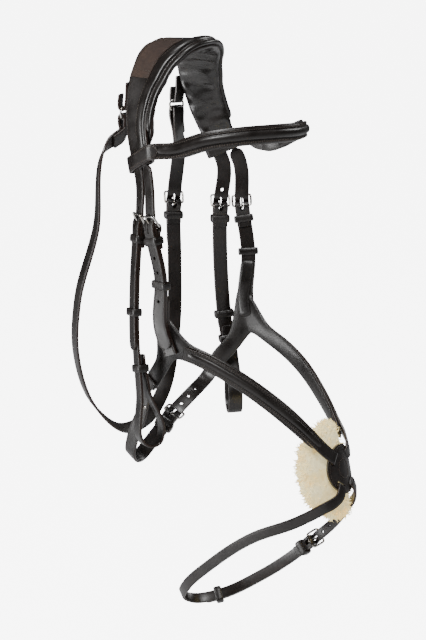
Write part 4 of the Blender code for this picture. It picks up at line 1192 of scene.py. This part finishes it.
# Disc
# A round of stiff leather with four slots, through which the nose straps and the chin strap pass.
# Its rim is bevelled, and two rings of stitches hold its layers together.
disc_centre = np.array((0.0, -0.210, -0.44405))
disc_tilt = radians(12)
disc_side = np.array((1.0, 0.0, 0.0))
disc_up = np.array((0.0, sin(disc_tilt), cos(disc_tilt)))
disc_out = np.array((0.0, -cos(disc_tilt), sin(disc_tilt)))
disc_bend = 0.065
disc_bevel = 0.0005
disc_seams = (0.0248, 0.0105)


def disc_ring(radius):
    """A ring of points: across = radius sin(a), up = radius cos(a), on a cylinder's face."""
    a = np.linspace(0.0, 2 * pi, 90)
    across, rise = radius * np.sin(a), radius * np.cos(a)
    depth = across**2 / (2 * disc_bend)
    points = (disc_centre + across[:, None] * disc_side + rise[:, None] * disc_up
              - depth[:, None] * disc_out)
    return points, unit(disc_out + (across / disc_bend)[:, None] * disc_side)


smooth_copy("nose_disc", "disc_leather", black_leather, bevel=disc_bevel)
sew("disc_stitches", [disc_ring(radius) for radius in disc_seams], "noseband", pitch=0.0029)

# Sheepskin
# A pad of clipped wool behind the disc: a dense surface of curled clumps, cream at the tips and
# yellower in the hollows, with loose tufts round its rim. The wool also glows in its own colour,
# a painted brightness that stands in for light falling on it and spills onto the leather nearby.
fleece_half_width = 0.040
fleece_half_height = 0.051
fleece_thickness = 0.015
fleece_radius = 0.037
fleece_back = 0.0054
fleece_fall = 0.55
fleece_core = 0.55
corner_share = 0.34
clump_sizes = ((0.62, 0.0052), (0.30, 0.0023), (0.16, 0.0011))
clump_middle = 0.45
clump_height = 0.0042
tuft_count = 1300
tuft_lengths = (0.0035, 0.0085)
tuft_curl = 0.35
tuft_root_radius = 0.00085
tuft_tip_radius = 0.00008


def cell_clumps(points, size, seed):
    """Round clumps from 1 - (distance to the nearest scattered seed / size)^2, with one seed in
    each cell of a grid."""
    cell = np.floor(points / size).astype(np.int64)
    nearest = np.full(len(points), 9.0)
    for step in np.ndindex(3, 3, 3):
        other = cell + np.array(step) - 1
        key = other @ np.array((73856093, 19349663, 83492791)) + seed * 7919
        jitter = np.stack([(np.sin(key * f) * 43758.5453) % 1.0
                           for f in (0.0129898, 0.078233, 0.0377191)], axis=1)
        gap = points / size - other - jitter
        nearest = np.minimum(nearest, (gap**2).sum(axis=1))
    return 1 - np.clip(nearest, 0.0, 1.0)


def fleece_middle(x, y):
    """The pad's middle surface and the way out of it, at shares x and y of its half sizes: a
    square with its corners drawn in, bent to a cylinder."""
    across = x * np.sqrt(1 - corner_share * y * y) * fleece_half_width
    rise = y * np.sqrt(1 - corner_share * x * x) * fleece_half_height
    depth = fleece_back + across * across / (2 * fleece_radius) + fleece_thickness / 2
    out = unit(disc_out + (across / fleece_radius)[..., None] * disc_side)
    return (disc_centre + across[..., None] * disc_side + rise[..., None] * disc_up
            - depth[..., None] * disc_out), out


def fleece_shell(a, b, share=1.0):
    """Points on the pad and the way out of them, with a across its thickness and b round its
    outline: x and y lie on a soft square, drawn in by cos(a), and through is half the thickness
    * sin(a)."""
    square = 1 / (np.abs(np.cos(b)) ** 5 + np.abs(np.sin(b)) ** 5) ** 0.2
    reach = np.cos(a) ** fleece_fall * share
    x, y = reach * square * np.cos(b), reach * square * np.sin(b)
    middle, out = fleece_middle(x, y)
    points = middle + out * (np.sin(a) * fleece_thickness / 2)[..., None]
    side = unit(points - fleece_middle(x * fleece_core, y * fleece_core)[0])
    return points, side * np.cos(a)[..., None] + out * np.sin(a)[..., None], x, y


def fleece_mesh(name, rings=170, sides=230):
    """Rings round the shell, moved out by three sizes of clumps."""
    a = np.linspace(-pi / 2, pi / 2, rings)[:, None]
    b = np.linspace(0.0, 2 * pi, sides, endpoint=False)[None]
    points, away, x, y = fleece_shell(a, b)
    flat = points.reshape(-1, 3)
    clumps = sum(share * cell_clumps(flat, size, seed)
                 for seed, (share, size) in enumerate(clump_sizes, 1)).reshape(rings, sides)
    free = np.where(np.sin(a) > 0.5, 0.55, 1.0)
    points = points + unit(away) * ((clumps - clump_middle) * clump_height * free)[..., None]
    return grid_mesh(name, points, np.stack([x, y], axis=2), clumps, np.zeros_like(clumps))


def tuft_mesh(name, count):
    """Curled locks: rings at t from 0 to 1 along root + away * length * t + side * curl * sin(3t),
    each of four points, narrowing as 1 - t^1.5."""
    chance = np.random.default_rng(11)
    b = chance.uniform(0.0, 2 * pi, count)
    a = chance.normal(0.0, 0.45, count).clip(-1.2, 1.2)
    root, away, _, _ = fleece_shell(a, b, share=0.97)
    away = unit(away + chance.normal(0.0, 0.35, (count, 3)))
    bend = unit(np.cross(away, chance.normal(size=(count, 3))))
    other = np.cross(away, bend)
    length = chance.uniform(*tuft_lengths, count)
    t = np.linspace(0.0, 1.0, 5)
    spine = (root[:, None] + away[:, None] * (length[:, None] * t)[..., None]
             + bend[:, None] * (length[:, None] * tuft_curl * np.sin(3 * t))[..., None])
    thick = tuft_root_radius * (1 - t**1.5) + tuft_tip_radius
    turn = np.arange(4) * pi / 2
    ring = (bend[:, None, None] * np.cos(turn)[:, None] + other[:, None, None]
            * np.sin(turn)[:, None])
    points = spine[:, :, None] + ring * thick[None, :, None, None]
    index = np.arange(20).reshape(5, 4)
    quads = np.concatenate([ring_quads(index), index[:1, ::-1], index[-1:]])
    faces = (quads + np.arange(count)[:, None, None] * 20).reshape(-1, 4)
    mesh = bpy.data.meshes.new(name)
    mesh.from_pydata(points.reshape(-1, 3).tolist(), [], faces.tolist())
    mark(mesh, "rim", np.tile(np.repeat(0.4 + 0.6 * t, 4), count))
    mesh.shade_smooth()
    return mesh


wool, tree, shader = new_material("wool")
place = object_place(tree)
height = add_node(tree, "ShaderNodeAttribute", (("attribute_name", "rim"),)).outputs["Fac"]
patch = noise(tree, place, 60.0, 3.0)
fibre = noise(tree, place, 1500.0, 4.0, distortion=1.2)
colour = mix_colour(tree, ranged(tree, height, 0.15, 0.75), (0.80, 0.50, 0.15), (1.0, 0.88, 0.50))
colour = mix_colour(tree, ranged(tree, patch, 0.44, 0.66, 0.0, 0.55), colour, (1.0, 0.72, 0.26))
# Painted light: the emission makes the wool and its tufts glow in their own colour, brighter than
# the lamps alone light them.
feed(tree, shader.inputs, Base_Color=colour, Emission_Color=colour, Emission_Strength=0.7,
     Roughness=ranged(tree, fibre, 0.3, 0.7, 0.82, 1.0), Sheen_Weight=0.35)
raise_surface(tree, shader, fibre, 0.8, 0.0008)
soft_piece(fleece_mesh("fleece"), wool, "noseband", ("nose_fleece",))
add_piece(tuft_mesh("fleece_tufts", tuft_count), "noseband", material=wool)
